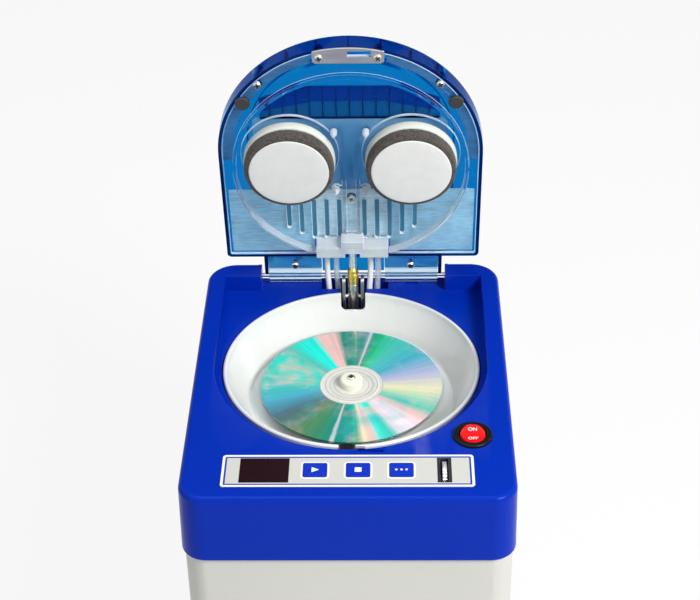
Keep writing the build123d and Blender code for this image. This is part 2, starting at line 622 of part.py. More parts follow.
def dial_bezel():
    """Black frame that lines the dial's slot."""
    half_x, half_y = DIAL_SLOT_WIDTH / 2, DIAL_SLOT_LENGTH / 2
    inner_x, inner_y = DIAL_THICKNESS / 2 + BEZEL_WALL, half_y - BEZEL_WALL
    body = block(DIAL_X - half_x, DIAL_X + half_x, CONTROL_Y - half_y, CONTROL_Y + half_y, BEZEL_LOW_Z,
                 TOP_Z + 0.7)
    return body - block(DIAL_X - inner_x, DIAL_X + inner_x, CONTROL_Y - inner_y, CONTROL_Y + inner_y,
                        BEZEL_LOW_Z - 1, TOP_Z + 2)


def power_switch_body():
    """Round rocker switch housing with its raised ring."""
    body = post(BEZEL_RADIUS, TOP_Z, BEZEL_Z, SWITCH_X, SWITCH_Y)
    body = fillet(body.edges().group_by(Axis.Z)[-1], 1.2)
    body += post(9.6, 8, TOP_Z + 0.5, SWITCH_X, SWITCH_Y)
    body -= post(ROCKER_RADIUS + 1, 19.5, BEZEL_Z + 1, SWITCH_X, SWITCH_Y)
    reach = ROCKER_RADIUS + 1.8
    return body - cross_rod(1.25, SWITCH_X - reach, SWITCH_X + reach, SWITCH_Y, ROCKER_PIVOT_Z)


def power_rocker():
    """Red rocker with a hollow saddle top, resting with its near side pressed."""
    low, middle = 21.0, 28.6
    rise = ROCKER_RADIUS * math.tan(math.radians(ROCKER_TILT)) + 0.3
    corners = [(-10, low), (10, low), (10, middle + rise * 10 / ROCKER_RADIUS), (0, middle),
               (-10, middle + rise * 10 / ROCKER_RADIUS)]
    profile = Plane.YZ * make_face(Polyline(*corners, close=True))
    body = extrude(profile, 10, both=True) & post(ROCKER_RADIUS, low, 40)
    reach = ROCKER_RADIUS + 1.5
    body += cross_rod(1.2, -reach, reach, 0, ROCKER_PIVOT_Z)
    tilt = Pos(0, 0, ROCKER_PIVOT_Z) * Rot(ROCKER_TILT, 0, 0) * Pos(0, 0, -ROCKER_PIVOT_Z)
    return Pos(SWITCH_X, SWITCH_Y) * tilt * body


# ---- Lid lock ----
def latch_bracket():
    """Steel bracket under the recess, with the hook's pin riveted in."""
    solids = []
    body = block(LATCH_X - 11, LATCH_X + 11, LATCH_Y - 4, LATCH_Y - 2.2, PAN_BOTTOM_Z - 1.5, PAN_BOTTOM_Z)
    for side in (-1, 1):
        inner = LATCH_X + side * (LATCH_HALF_WIDTH + 0.5)
        outer = LATCH_X + side * (LATCH_HALF_WIDTH + 2.0)
        x0, x1 = min(inner, outer), max(inner, outer)
        body += block(x0, x1, LATCH_Y - 4, LATCH_Y + 3.5, LATCH_PIVOT_Z - 5, PAN_BOTTOM_Z)
        body += block(x0, x1, LATCH_Y - 35, LATCH_Y - 4, LATCH_PIVOT_Z - 5, LATCH_PIVOT_Z - 1)
    body += block(LATCH_X - 7, LATCH_X + 7, LATCH_Y - 35, LATCH_Y - 4.2, LATCH_PIVOT_Z - 5,
                  LATCH_PIVOT_Z - 3.5)
    reach = LATCH_HALF_WIDTH + 2.5
    body -= cross_rod(1.22, LATCH_X - reach, LATCH_X + reach, LATCH_Y, LATCH_PIVOT_Z)
    solids.append(body)
    solids.append(cross_rod(1.2, LATCH_X - reach, LATCH_X + reach, LATCH_Y, LATCH_PIVOT_Z))
    return solids


def latch_hook():
    """Hook that stands through the recess floor into the closed lid's slot."""
    x0, x1 = LATCH_X - LATCH_HALF_WIDTH, LATCH_X + LATCH_HALF_WIDTH
    y0, y1 = LATCH_Y - 0.8, LATCH_Y + 0.8
    body = block(x0, x1, y0, y1, LATCH_PULL_Z - 2.5, 23.5)
    nose = Polyline((y1 - 0.5, 21.7), (y1 + 1.4, 21.7), (y1 + 0.4, 23.5), (y1 - 0.5, 23.5), close=True)
    body += Pos(LATCH_X, 0, 0) * extrude(Plane.YZ * make_face(nose), LATCH_HALF_WIDTH, both=True)
    body += cross_rod(3.0, x0, x1, LATCH_Y, LATCH_PIVOT_Z)
    body -= cross_rod(1.2 + RUNNING, x0 - 1, x1 + 1, LATCH_Y, LATCH_PIVOT_Z)
    return body - long_rod(2.0, y0 - 1, y1 + 1, LATCH_X, LATCH_PULL_Z)


def latch_plunger():
    """Solenoid plunger whose head draws the hook's tail."""
    body = long_rod(2.9, LATCH_Y + 1.2, LATCH_Y + 3.2, LATCH_X, LATCH_PULL_Z)
    body += long_rod(1.2, LATCH_Y - 5, LATCH_Y + 1.3, LATCH_X, LATCH_PULL_Z)
    return body + long_rod(3.5, LATCH_Y - 26, LATCH_Y - 4, LATCH_X, LATCH_PULL_Z)


def latch_solenoid():
    """Solenoid that pulls the hook while the machine runs."""
    top = LATCH_PIVOT_Z - 5
    body = block(LATCH_X - 7, LATCH_X + 7, LATCH_Y - 34, LATCH_Y - 7, LATCH_PULL_Z - 7, top)
    return body - long_rod(3.5 + RUNNING, LATCH_Y - 28, LATCH_Y, LATCH_X, LATCH_PULL_Z)


# ---- Lid ----
def lid_shell():
    """Translucent blue shell of the lid, with its motor dome and hinge tongue."""
    back, dome = -LID_DEPTH, -DOME_DEPTH
    body = prism(lid_outline(0), back, LID_EDGE_W)
    body = fillet(body.edges().group_by(Axis.Z)[0], LID_BACK_ROUND)
    bulge = prism(lid_outline(DOME_INSET, 12.0), dome, back + 1)
    body += fillet(bulge.edges().group_by(Axis.Z)[0], 4.0)
    body += block(-58, 58, TONGUE_V, LID_BOTTOM_V + 1, back, -LEAF_THICKNESS / 2)
    body -= prism(lid_outline(LID_WALL, 1.5), back + LID_WALL, LID_EDGE_W + 1)
    body -= prism(lid_outline(DOME_INSET + LID_WALL, 10.0), dome + LID_WALL, back + LID_WALL + 1)
    body -= block(-55.8, 55.8, TONGUE_V - 1, LID_BOTTOM_V, back + LID_WALL,
                  -LEAF_THICKNESS / 2 - LID_WALL)
    body -= block(-CENTRE_GAP, CENTRE_GAP, TONGUE_V - 1, LID_BOTTOM_V, back + LID_WALL, 0)
    wide = MANIFOLD_HALF_WIDTH + PLATE_GAP
    body -= block(-wide, wide, LID_BOTTOM_V - 1, LID_BOTTOM_V + LID_WALL + 2, back + LID_WALL,
                  LID_EDGE_W + 1)
    for u, v in BOSS_PLACES + LATCH_SCREWS:
        floor = dome if v < 150 and abs(u) < 60 else back
        body += post(3.2, floor + 1, PLATE_BACK_W, u, v)
        body -= post(SCREW_HOLE, PLATE_BACK_W - 8, PLATE_BACK_W + 1, u, v)
    for u, v in HINGE_SCREWS:
        body -= post(SCREW_HOLE, -6, 0, u, v)
    return LID_PLACE * body


def slot_bottom(u):
    """Lower end of a drain slot: the slots follow the splash ring, then level off."""
    return max(35.5, SPINDLE_V - math.sqrt(67.2 ** 2 - u * u))


def lid_inner_plate():
    """Clear inner plate with the splash ring, head openings and drain slots."""
    body = prism(lid_outline(LID_WALL + PLATE_GAP, 1.2), PLATE_BACK_W, LID_EDGE_W)
    body += ring(SPLASH_RADIUS, SPLASH_RADIUS - SPLASH_WALL, LID_EDGE_W - 0.5, SPLASH_W, 0, SPINDLE_V)
    for side in (-1, 1):
        body -= post(HEAD_OPENING, -5, 20, side * HEAD_X, HEAD_V)
    for index in range(-5, 6):
        u = 8.35 * index
        low, high = slot_bottom(u), 70.0
        slot = Pos(u, (low + high) / 2) * SlotOverall(high - low, 3.0, rotation=90)
        if index:
            body -= prism(slot, PLATE_BACK_W - 1, LID_EDGE_W + 1)
    wide = MANIFOLD_HALF_WIDTH + PLATE_GAP
    body -= block(-wide, wide, LID_BOTTOM_V, MANIFOLD_TOP_V + PLATE_GAP, -5, 20)
    body -= block(-5.5, 5.5, MANIFOLD_TOP_V - 1, STRUT_LID_V + 7.5, -5, 20)
    body -= block(*LATCH_SLOT_U, *LATCH_SLOT_V, -5, 20)
    for u, v in BOSS_PLACES + LATCH_SCREWS:
        body -= post(SCREW_HOLE, -5, 20, u, v)
    return LID_PLACE * body


def hinge_knuckles():
    """Two clear hinge leaves whose barrels turn on the pin."""
    leaves = []
    for side in (-1, 1):
        x0, x1 = sorted((side * KNUCKLE_INNER_X, side * KNUCKLE_OUTER_X))
        half = LEAF_THICKNESS / 2
        leaf = cross_rod(KNUCKLE_RADIUS, x0, x1, 0, 0) + block(x0, x1, 0, LID_BOTTOM_V - 0.5, -half, half)
        leaf -= cross_rod(PIN_RADIUS + RUNNING, x0 - 1, x1 + 1, 0, 0)
        for u, v in HINGE_SCREWS:
            leaf -= post(SCREW_HOLE, -5, 5, u, v)
        leaves.append(LID_PLACE * leaf)
    return leaves


def hinge_pin():
    """Steel rod from ear to ear."""
    return cross_rod(PIN_RADIUS, -PIN_HALF_LENGTH, PIN_HALF_LENGTH, HINGE_Y, HINGE_Z)


def spray_manifold():
    """Clear block that takes the hoses and feeds the four nozzles."""
    half = MANIFOLD_HALF_WIDTH
    body = block(-half, half, MANIFOLD_STEP_V, MANIFOLD_TOP_V, MANIFOLD_BACK_W, MANIFOLD_FRONT_W)
    body = fillet(body.edges().filter_by(Axis.X).group_by(Axis.Z)[-1], 2.0)
    body += block(-half, half, MANIFOLD_LIP_V, MANIFOLD_STEP_V + 1, MANIFOLD_BACK_W, 3.5)
    body += block(-7.5, 7.5, MANIFOLD_TOP_V - 1, STRUT_LID_V + 7.2, LID_EDGE_W, MANIFOLD_FRONT_W)
    # rails and spine up to the nozzles
    for side in (-1, 1):
        x0, x1 = sorted((side * 3.1, side * 5.9))
        body += block(x0, x1, STRUT_LID_V + 6, 88, LID_EDGE_W, 3.2)
    body += block(-7.2, 7.2, 87, 135, LID_EDGE_W, 3.2)
    for u, v in NOZZLES:
        arm = block(min(0, u), max(0, u), v - 2, v + 2, LID_EDGE_W, 3.2) - block(-3.0, 3.0, 60, 86.9, 0, 5)
        body += post(3.2, LID_EDGE_W, 3.2, u, v) + arm
    # pocket and open channel that clear the strut through its swing
    body -= block(-5, 5, MANIFOLD_LIP_V - 1, STRUT_LID_V + 5.2, -5, 9.7)
    body -= block(-5, 5, MANIFOLD_LIP_V - 1, 29.5, -5, 20)
    for u in HOSE_US:
        body -= Pos(u, 24, TUBE_W) * Rot(90, 0, 0) * Cylinder(CLEAR_HOSE_RADIUS + 0.15, 10)
    for u in SLEEVE_US:
        body -= rod_between(SLEEVE_RADIUS + 0.15, (u, 18, TUBE_W + 0.6), (u, 38, WIRE_W - 1.0))
    return LID_PLACE * body


def spray_nozzles():
    """Four clear nozzles beside the heads."""
    tips = []
    for u, v in NOZZLES:
        tip = post(2.2, 3.2, 6.5, u, v) + Pos(u, v, 8.0) * Cone(1.8, 1.0, 3.0)
        tips.append(LID_PLACE * (tip - post(0.5, 5, 12, u, v)))
    return tips


def latch_plate():
    """Steel plate at the lid's front edge that the lock's hook catches."""
    rim = LID_HALF_WIDTH - 0.4
    high = LID_ARC_V + rim
    sheet = Pos(0, (LATCH_PLATE_V + high) / 2) * Rectangle(2 * LATCH_PLATE_HALF, high - LATCH_PLATE_V)
    sheet = fillet(sheet.vertices().group_by(Axis.Y)[0], 2.5)
    sheet &= Pos(0, LID_ARC_V) * Circle(rim)
    body = prism(sheet, LID_EDGE_W, LID_EDGE_W + LATCH_PLATE_THICKNESS)
    body -= block(*LATCH_SLOT_U, *LATCH_SLOT_V, 0, 10)
    for u, v in LATCH_SCREWS:
        body -= post(SCREW_HOLE, 0, 10, u, v)
    return LID_PLACE * body


def lid_bumpers():
    """Two rubber buffers that land on the recess floor."""
    bumpers = []
    for side in (-1, 1):
        pad = post(BUMPER_RADIUS, LID_EDGE_W, LID_EDGE_W + BUMPER_HEIGHT, side * 67.0, 151.0)
        bumpers.append(LID_PLACE * fillet(pad.edges().group_by(Axis.Z)[-1], 1.0))
    return bumpers


def lid_screws():
    """Screws of the plate, the latch plate and the hinge leaves."""
    top = LID_EDGE_W + LATCH_PLATE_THICKNESS
    screws = [screw(u, v, LID_EDGE_W, 8) for u, v in BOSS_PLACES]
    screws += [screw(u, v, top, 9) for u, v in LATCH_SCREWS]
    screws += [screw(u, v, LEAF_THICKNESS / 2, 5) for u, v in HINGE_SCREWS]
    return [LID_PLACE * item for item in screws]


def motor_carrier():
    """Plate behind the inner plate that holds both head motors."""
    front = PLATE_BACK_W
    body = block(-62, 62, 77.3, 139.5, front - CARRIER_THICKNESS, front)
    for side in (-1, 1):
        body -= post(3.7, -10, 10, side * HEAD_X, HEAD_V)
    return LID_PLACE * body


def head_motors():
    """Two flat motors, one behind each polishing head."""
    motors = []
    for side in (-1, 1):
        x = side * HEAD_X
        front = PLATE_BACK_W - CARRIER_THICKNESS
        body = post(MOTOR_RADIUS, MOTOR_BACK_W, front, x, HEAD_V)
        body += post(3.5, front - 1, front + 1.6, x, HEAD_V)
        body -= post(HEAD_SHAFT_RADIUS + RUNNING, MOTOR_BACK_W + 3, 0, x, HEAD_V)
        motors.append(LID_PLACE * body)
    return motors


def lid_wires():
    """Sleeved motor wires behind the inner plate."""
    wires = []
    for u in SLEEVE_US:
        bend = (u, MANIFOLD_TOP_V + 0.3, WIRE_W)
        low = rod_between(SLEEVE_RADIUS, (u, MANIFOLD_LIP_V + 0.5, TUBE_W), bend)
        high = rod_between(SLEEVE_RADIUS, bend, (u, WIRE_TOP_V, WIRE_W))
        elbow = Pos(*bend) * Sphere(SLEEVE_RADIUS)
        wires.append(LID_PLACE * (low + elbow + high))
    return wires


def head_hub(side):
    """Moulded hub of a polishing head with its drive shaft."""
    x = side * HEAD_X
    body = post(HUB_RADIUS, HUB_W, FOAM_W, x, HEAD_V)
    body = fillet(body.edges().group_by(Axis.Z)[0], 1.5)
    return LID_PLACE * (body + post(HEAD_SHAFT_RADIUS, MOTOR_BACK_W + 3.5, HUB_W + 1, x, HEAD_V))


def head_foam(side):
    """Foam ring that lets the pad follow the disc."""
    return LID_PLACE * post(FOAM_RADIUS, FOAM_W, PAD_W, side * HEAD_X, HEAD_V)


def polishing_pad(side):
    """White polishing pad."""
    return LID_PLACE * post(PAD_RADIUS, PAD_W, PAD_W + PAD_THICKNESS, side * HEAD_X, HEAD_V)


# ---- Gas strut ----
ROD_END = LID_PLACE * Pos(0, STRUT_LID_V, STRUT_LID_W)
STRUT_DY = ROD_END.position.Y - PIVOT_Y
STRUT_DZ = ROD_END.position.Z - PIVOT_Z
STRUT_LENGTH = math.hypot(STRUT_DY, STRUT_DZ)
STRUT_PLACE = Pos(0, PIVOT_Y, PIVOT_Z) * Rot(-math.degrees(math.atan2(STRUT_DY, STRUT_DZ)), 0, 0)


def strut_bracket():
    """U-shaped steel bracket with bores for the strut's trunnions."""
    inner, outer = ARM_GAP / 2, ARM_GAP / 2 + ARM_THICKNESS
    top = PIVOT_Z + 16
    body = block(-outer, outer, PIVOT_Y - 4, 99, STRUT_FOOT_Z - 2, STRUT_FOOT_Z)
    body += block(-31, 31, 93.2, 99, STRUT_FOOT_Z - 2, STRUT_FOOT_Z)
    for side in (-1, 1):
        x0, x1 = sorted((side * inner, side * outer))
        arm = block(x0, x1, PIVOT_Y - 4, PIVOT_Y + 4, STRUT_FOOT_Z - 1, top)
        body += fillet(arm.edges().filter_by(Axis.X).group_by(Axis.Z)[-1], 3.0)
        body -= post(SCREW_HOLE, STRUT_FOOT_Z - 3, STRUT_FOOT_Z + 1, side * STRUT_POST_X, STRUT_POST_Y)
    return body - cross_rod(TRUNNION_RADIUS + RUNNING, -20, 20, PIVOT_Y, PIVOT_Z)


def strut_cylinder():
    """Steel pressure tube with two trunnions."""
    body = post(CYLINDER_RADIUS, -CYLINDER_TAIL, GLAND_START)
    body -= post(CYLINDER_BORE, -CYLINDER_TAIL + 1, GLAND_START + 1)
    for side in (-1, 1):
        x0, x1 = sorted((side * (CYLINDER_BORE + 0.3), side * (ARM_GAP / 2 + ARM_THICKNESS - 0.2)))
        body += cross_rod(TRUNNION_RADIUS, x0, x1, 0, 0)
    return STRUT_PLACE * body


def strut_gland():
    """Brass gland that guides the rod."""
    body = post(GLAND_RADIUS, GLAND_START, GLAND_END)
    body -= post(ROD_RADIUS + RUNNING, GLAND_START - 1, GLAND_END + 1)
    groove = ring(GLAND_RADIUS + 1, GLAND_RADIUS - 0.5, GLAND_END - 3.4, GLAND_END - 2.4)
    return STRUT_PLACE * (body - groove)


def strut_rod():
    """Piston rod, drawn out, with its rounded lid end."""
    start = GLAND_START - 1.0
    body = post(ROD_RADIUS, start, STRUT_LENGTH + 1.5)
    return STRUT_PLACE * fillet(body.edges().group_by(Axis.Z)[-1], 1.0)


# ---- Hoses, wires, water and power ----

def crossing_tube(low_x, u, radius):
    """Tube from inside the housing, past the hinge, to the manifold."""
    end = (LID_PLACE * Pos(u, MANIFOLD_LIP_V - 0.2, TUBE_W)).position
    before = (LID_PLACE * Pos(u, 12.0, 2.6)).position
    points = [(low_x, TUBE_Y, TUBE_START_Z), (low_x, TUBE_Y - 0.3, 12.0),
              (before.X, before.Y, before.Z), (end.X, end.Y, end.Z)]
    return hose(points, radius)


def wire_sleeves():
    """White wire sleeves that cross the hinge."""
    return [crossing_tube(x, u, SLEEVE_RADIUS) for x, u in zip(SLEEVE_LOW_XS, SLEEVE_US)]


def water_hoses():
    """Clear hoses that cross the hinge."""
    return [crossing_tube(x, u, CLEAR_HOSE_RADIUS) for x, u in zip(HOSE_LOW_XS, HOSE_US)]


def hose_tee():
    """Splitter that feeds both clear hoses."""
    body = cross_rod(3.0, HOSE_LOW_XS[0] - 2, HOSE_LOW_XS[1] + 2, TUBE_Y, TEE_Z)
    for x in HOSE_LOW_XS:
        body += post(1.8, TEE_Z, TUBE_START_Z - 0.2, x, TUBE_Y)
    return body + post(2.4, TEE_LOW_Z, TEE_Z, TEE_X, TUBE_Y)


def supply_hose():
    """Hoses from the tank to the pump, and from the pump to the splitter."""
    low = PUMP_TOP_Z + 8
    places = ((PORT_X, PORT_Y), (38.0, 62.0), (16.0, 80.0), (TEE_X, TUBE_Y))
    rise = [(PORT_X, PORT_Y, low)]
    rise += [(x, y, low + share * (TEE_LOW_Z - low)) for (x, y), share in zip(places, HOSE_RISE)]
    rise += [(TEE_X, TUBE_Y, TEE_LOW_Z)]
    suction = cross_rod(4.0, TANK_X[1] + 8, PUMP_X[0] - 8, PORT_Y, PORT_Z)
    return [hose(rise, 4.0, 2.5), suction - cross_rod(2.5, -5, 30, PORT_Y, PORT_Z)]


def pump():
    """Diaphragm pump with its inlet and outlet barbs."""
    low = PUMP_TOP_Z - 26
    body = block(*PUMP_X, *PUMP_Y, low, PUMP_TOP_Z)
    body += post(18.0, BASE_TOP_Z, low + 1, PORT_X, PORT_Y)
    body += post(3.2, PUMP_TOP_Z - 1, PUMP_TOP_Z + 8, PORT_X, PORT_Y)
    return body + cross_rod(3.2, PUMP_X[0] - 8, PORT_X, PORT_Y, PORT_Z)


def water_tank():
    """Blow-moulded tank with its neck and outlet, and the screw cap."""
    body = block(*TANK_X, *TANK_Y, BASE_TOP_Z, TANK_TOP_Z)
    body = fillet(body.edges().filter_by(Axis.Z), 6.0)
    wall = TANK_WALL
    body += post(12.0, TANK_TOP_Z - 1, TANK_TOP_Z + 10, CAP_X, CAP_Y)
    body += cross_rod(3.2, TANK_X[1] - 1, TANK_X[1] + 8, PORT_Y, PORT_Z)
    body -= block(TANK_X[0] + wall, TANK_X[1] - wall, TANK_Y[0] + wall, TANK_Y[1] - wall,
                  BASE_TOP_Z + wall, TANK_TOP_Z - wall)
    body -= post(10.0, TANK_TOP_Z - 3, TANK_TOP_Z + 11, CAP_X, CAP_Y)
    cap = post(14.0, TANK_TOP_Z + 3, TANK_TOP_Z + 14, CAP_X, CAP_Y) \
        - post(12.1, TANK_TOP_Z + 2, TANK_TOP_Z + 10, CAP_X, CAP_Y)
    cap += post(3.2, TANK_TOP_Z + 13, TANK_TOP_Z + 24, CAP_X, CAP_Y)
    return [body, cap - post(2.0, TANK_TOP_Z, TANK_TOP_Z + 30, CAP_X, CAP_Y)]


def drain_hose():
    """Hose from the bowl's drain back to the tank."""
    points = [(DRAIN_X, DRAIN_Y, BOWL_FLOOR_Z - 15), (DRAIN_X, DRAIN_Y, -48), (CAP_X, CAP_Y, -74),
              (CAP_X, CAP_Y, TANK_TOP_Z + 24)]
    return hose(points, 5.5, 4.0)


def power_board():
    """Power and motor board on the base."""
    top = BASE_TOP_Z + 10
    body = block(10, 84, -118, -28, top - 1.6, top)
    for x in (14, 80):
        for y in (-114, -32):
            body += post(3.0, BASE_TOP_Z, top - 1, x, y)
    body += block(20, 50, -112, -84, top - 0.5, top + 26)
    body += block(56, 78, -112, -60, top - 0.5, top + 14)
    for y in (-72, -58, -44):
        body += post(6.0, top - 0.5, top + 18, 28, y)
    return body


def dc_inlet():
    """Round power inlet in the back wall."""
    back = HOUSING_BACK + CASING_GROW
    body = long_rod(7.5, back, back + 1.6, INLET_X, INLET_Z)
    body += long_rod(5.6, back - 14, back + 1, INLET_X, INLET_Z)
    body -= long_rod(3.0, back - 11, back + 3, INLET_X, INLET_Z)
    return body + long_rod(1.0, back - 12, back + 0.5, INLET_X, INLET_Z)


# ---- Assembly ----
NODES = {
    "top_cover": top_cover(),
    "lower_casing": lower_casing(),
    "base_plate": base_plate(),
    "rubber_feet": rubber_feet(),
    "casing_screws": casing_screws(),
    "bowl": bowl(),
    "shaft_seal": shaft_seal(),
    "lid_sensor": lid_sensor(),
    "control_label": control_label(),
    "display_window": display_window(),
    "control_board": control_board(),
    "power_switch_body": power_switch_body(),
    "dial_bezel": dial_bezel(),
    "dial_pot": dial_pot(),
    "latch_bracket": latch_bracket(),
    "latch_solenoid": latch_solenoid(),
    "turntable_motor": turntable_motor(),
    "motor_mount": motor_mount(),
    "strut_bracket": strut_bracket(),
    "hinge_pin": hinge_pin(),
    "wire_sleeves": wire_sleeves(),
    "water_hoses": water_hoses(),
    "hose_tee": hose_tee(),
    "supply_hose": supply_hose(),
    "pump": pump(),
    "water_tank": water_tank(),
    "drain_hose": drain_hose(),
    "power_board": power_board(),
    "dc_inlet": dc_inlet(),
    "lid_shell": lid_shell(),
    "lid_inner_plate": lid_inner_plate(),
    "hinge_knuckles": hinge_knuckles(),
    "spray_manifold": spray_manifold(),
    "spray_nozzles": spray_nozzles(),
    "latch_plate": latch_plate(),
    "lid_bumpers": lid_bumpers(),
    "lid_screws": lid_screws(),
    "motor_carrier": motor_carrier(),
    "head_motors": head_motors(),
    "lid_wires": lid_wires(),
    "spindle_shaft": spindle_shaft(),
    "turntable_hub": turntable_hub(),
    "hub_cap": hub_cap(),
    "disc": disc(),
    "power_rocker": power_rocker(),
    "start_key": key(KEY_XS[0]),
    "stop_key": key(KEY_XS[1]),
    "function_key": key(KEY_XS[2]),
    "dial_wheel": dial_wheel(),
    "latch_hook": latch_hook(),
    "latch_plunger": latch_plunger(),
    "strut_cylinder": strut_cylinder(),
    "strut_gland": strut_gland(),
    "strut_rod": strut_rod(),
}
for name, side in (("left", -1), ("right", 1)):
    NODES[name + "_head_hub"] = head_hub(side)
    NODES[name + "_head_foam"] = head_foam(side)
    NODES[name + "_polishing_pad"] = polishing_pad(side)


def compound(shape):
    """One shape of a node, whether it holds one solid or several."""
    items = shape if isinstance(shape, list) else [shape]
    return Compound([solid for item in items for solid in item.solids()])


NODES = {name: compound(shape) for name, shape in NODES.items()}
WHOLE = Compound([solid for shape in NODES.values() for solid in shape.solids()]).bounding_box()
SHIFT = Pos(-WHOLE.center().X, -WHOLE.center().Y, -WHOLE.min.Z)
print("origin shift", [round(value, 4) for value in SHIFT.position])

for name, shape in NODES.items():
    export_step(SHIFT * shape, "parts/" + name + ".step")
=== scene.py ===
"""Disc repair machine, lid open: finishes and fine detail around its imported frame."""

import json
import math
from types import SimpleNamespace

import bmesh
import bpy
from bpy.props import BoolProperty, FloatProperty, FloatVectorProperty, PointerProperty
from mathutils import Matrix, Vector, noise
from mathutils.bvhtree import BVHTree


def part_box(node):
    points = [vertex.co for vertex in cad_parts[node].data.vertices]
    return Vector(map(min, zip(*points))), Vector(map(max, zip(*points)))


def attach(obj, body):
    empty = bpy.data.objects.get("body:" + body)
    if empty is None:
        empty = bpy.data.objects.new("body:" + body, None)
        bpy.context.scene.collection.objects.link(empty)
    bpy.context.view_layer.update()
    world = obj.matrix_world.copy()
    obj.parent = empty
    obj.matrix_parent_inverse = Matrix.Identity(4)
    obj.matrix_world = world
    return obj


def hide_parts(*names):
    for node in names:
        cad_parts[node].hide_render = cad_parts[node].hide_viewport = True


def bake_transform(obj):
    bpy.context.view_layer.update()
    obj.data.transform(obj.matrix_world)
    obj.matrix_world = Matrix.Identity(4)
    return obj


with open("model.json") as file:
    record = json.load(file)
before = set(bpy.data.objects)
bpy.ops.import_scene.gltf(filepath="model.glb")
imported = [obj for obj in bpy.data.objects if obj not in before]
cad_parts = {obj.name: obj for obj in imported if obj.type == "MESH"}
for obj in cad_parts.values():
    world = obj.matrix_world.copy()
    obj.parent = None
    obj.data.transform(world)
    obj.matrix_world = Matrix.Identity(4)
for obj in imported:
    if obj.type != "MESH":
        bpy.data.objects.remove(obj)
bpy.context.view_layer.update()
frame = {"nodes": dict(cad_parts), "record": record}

bl_info = {
    "name": "Disc repair machine",
    "version": (1, 0, 0),
    "blender": (4, 5, 0),
    "location": "View3D > Sidebar > Machine",
    "description": "Builds the finishes and the fine detail of a disc repair machine around its frame",
    "category": "Object",
}

MM = 0.001
OPEN_ANGLE = 80.35             # closed lid to open lid, degrees
DISC_THICKNESS = 1.2           # millimetres


def spindle_point():
    """The turntable axis at the disc's top face, found from the hub cap."""
    low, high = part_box("hub_cap")
    return Vector(((low.x + high.x) / 2, (low.y + high.y) / 2, low.z + DISC_THICKNESS * MM))


def hinge_point():
    """The middle of the hinge pin."""
    low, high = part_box("hinge_pin")
    return (low + high) / 2


def lid_matrix():
    """Lid plan: u to the right, v away from the hinge, w towards the polishing pads."""
    lean = math.radians(90 - OPEN_ANGLE)
    turn = Matrix(((1, 0, 0), (0, -math.sin(lean), -math.cos(lean)), (0, math.cos(lean), -math.sin(lean))))
    return Matrix.Translation(hinge_point()) @ turn.to_4x4() @ Matrix.Scale(MM, 4)


BENCH = Matrix.Translation(spindle_point()) @ Matrix.Scale(MM, 4)
LID = lid_matrix()


def spindle_v():
    """Distance of the spindle from the hinge in the closed lid's plan, in millimetres."""
    return (hinge_point().y - spindle_point().y) / MM


# ---- Sizes and colours that a user would change ----
def colour_prop(name, description, default):
    """Colour setting with its default."""
    return FloatVectorProperty(name=name, description=description, subtype="COLOR", size=3, min=0, max=1,
                               default=default)


def length_prop(name, description, millimetres):
    """Length setting."""
    return FloatProperty(name=name, description=description, default=millimetres * MM, min=0, precision=5,
                         subtype="DISTANCE", unit="LENGTH")


class MachineColours(bpy.types.PropertyGroup):
    """Colours of the finishes."""
    cover: colour_prop("Cover", "Glossy blue of the top cover", (0.0005, 0.026, 0.40))
    casing: colour_prop("Casing", "Pale grey powder coat", (0.61, 0.61, 0.565))
    bowl: colour_prop("Bowl", "White of the splash bowl", (0.80, 0.805, 0.78))
    lid: colour_prop("Lid", "Tint of the translucent lid", (0.003, 0.19, 0.53))
    clear: colour_prop("Clear parts", "Tint of the clear mouldings", (0.86, 0.95, 1.0))
    haze: colour_prop("Frosted sheet", "Tint of the frosted sheet", (0.60, 0.84, 0.93))
    label: colour_prop("Label", "Ground of the control label", (0.60, 0.60, 0.56))
    print_blue: colour_prop("Print", "Blue of the label's print and the keys", (0.004, 0.03, 0.48))
    window: colour_prop("Window", "Dark display window", (0.017, 0.004, 0.007))
    ivory: colour_prop("Hubs", "Ivory of the hubs", (0.78, 0.80, 0.70))
    cap: colour_prop("Hub cap", "Warm ivory of the hub cap", (0.88, 0.86, 0.70))
    foam: colour_prop("Foam", "Dark foam rings", (0.050, 0.044, 0.039))
    pad: colour_prop("Pads", "White polishing cloth", (0.81, 0.81, 0.78))
    rocker: colour_prop("Rocker", "Red of the power rocker", (0.90, 0.0, 0.0))


class MachineSizes(bpy.types.PropertyGroup):
    """Sizes of the fine detail."""
    edge_round: length_prop("Edge round", "Rounding of moulded edges", 0.3)
    fine_edge: length_prop("Fine edge", "Rounding of small edges", 0.25)
    print_height: length_prop("Print height", "How far print stands proud", 0.05)
    rib_thickness: length_prop("Rib thickness", "Ribs inside the lid", 0.7)
    foam_grain: length_prop("Foam grain", "Depth of the foam's uneven surface", 0.22)
    show_floor: BoolProperty(name="Floor", description="Add the pale floor", default=True)


# ---- Node helpers ----
def node(tree, kind, links=(), **values):
    """New node; links join outputs to its sockets, values set sockets, or with set_ in front its settings."""
    made = tree.nodes.new(kind)
    for key, value in values.items():
        if key.startswith("set_"):
            setattr(made, key[4:], value)
        else:
            made.inputs[key.replace("_", " ")].default_value = value
    for output, socket in links:
        tree.links.new(output, made.inputs[socket])
    return made


def feed(tree, sockets, **outputs):
    """Links outputs to a node's sockets by name."""
    for key, output in outputs.items():
        tree.links.new(output, sockets[key.replace("_", " ")])


def maths(tree, operation, first, second, clamp=False):
    """Math node on outputs or numbers; gives its output."""
    made = tree.nodes.new("ShaderNodeMath")
    made.operation = operation
    made.use_clamp = clamp
    for index, value in enumerate((first, second)):
        if isinstance(value, (int, float)):
            made.inputs[index].default_value = value
        else:
            tree.links.new(value, made.inputs[index])
    return made.outputs[0]


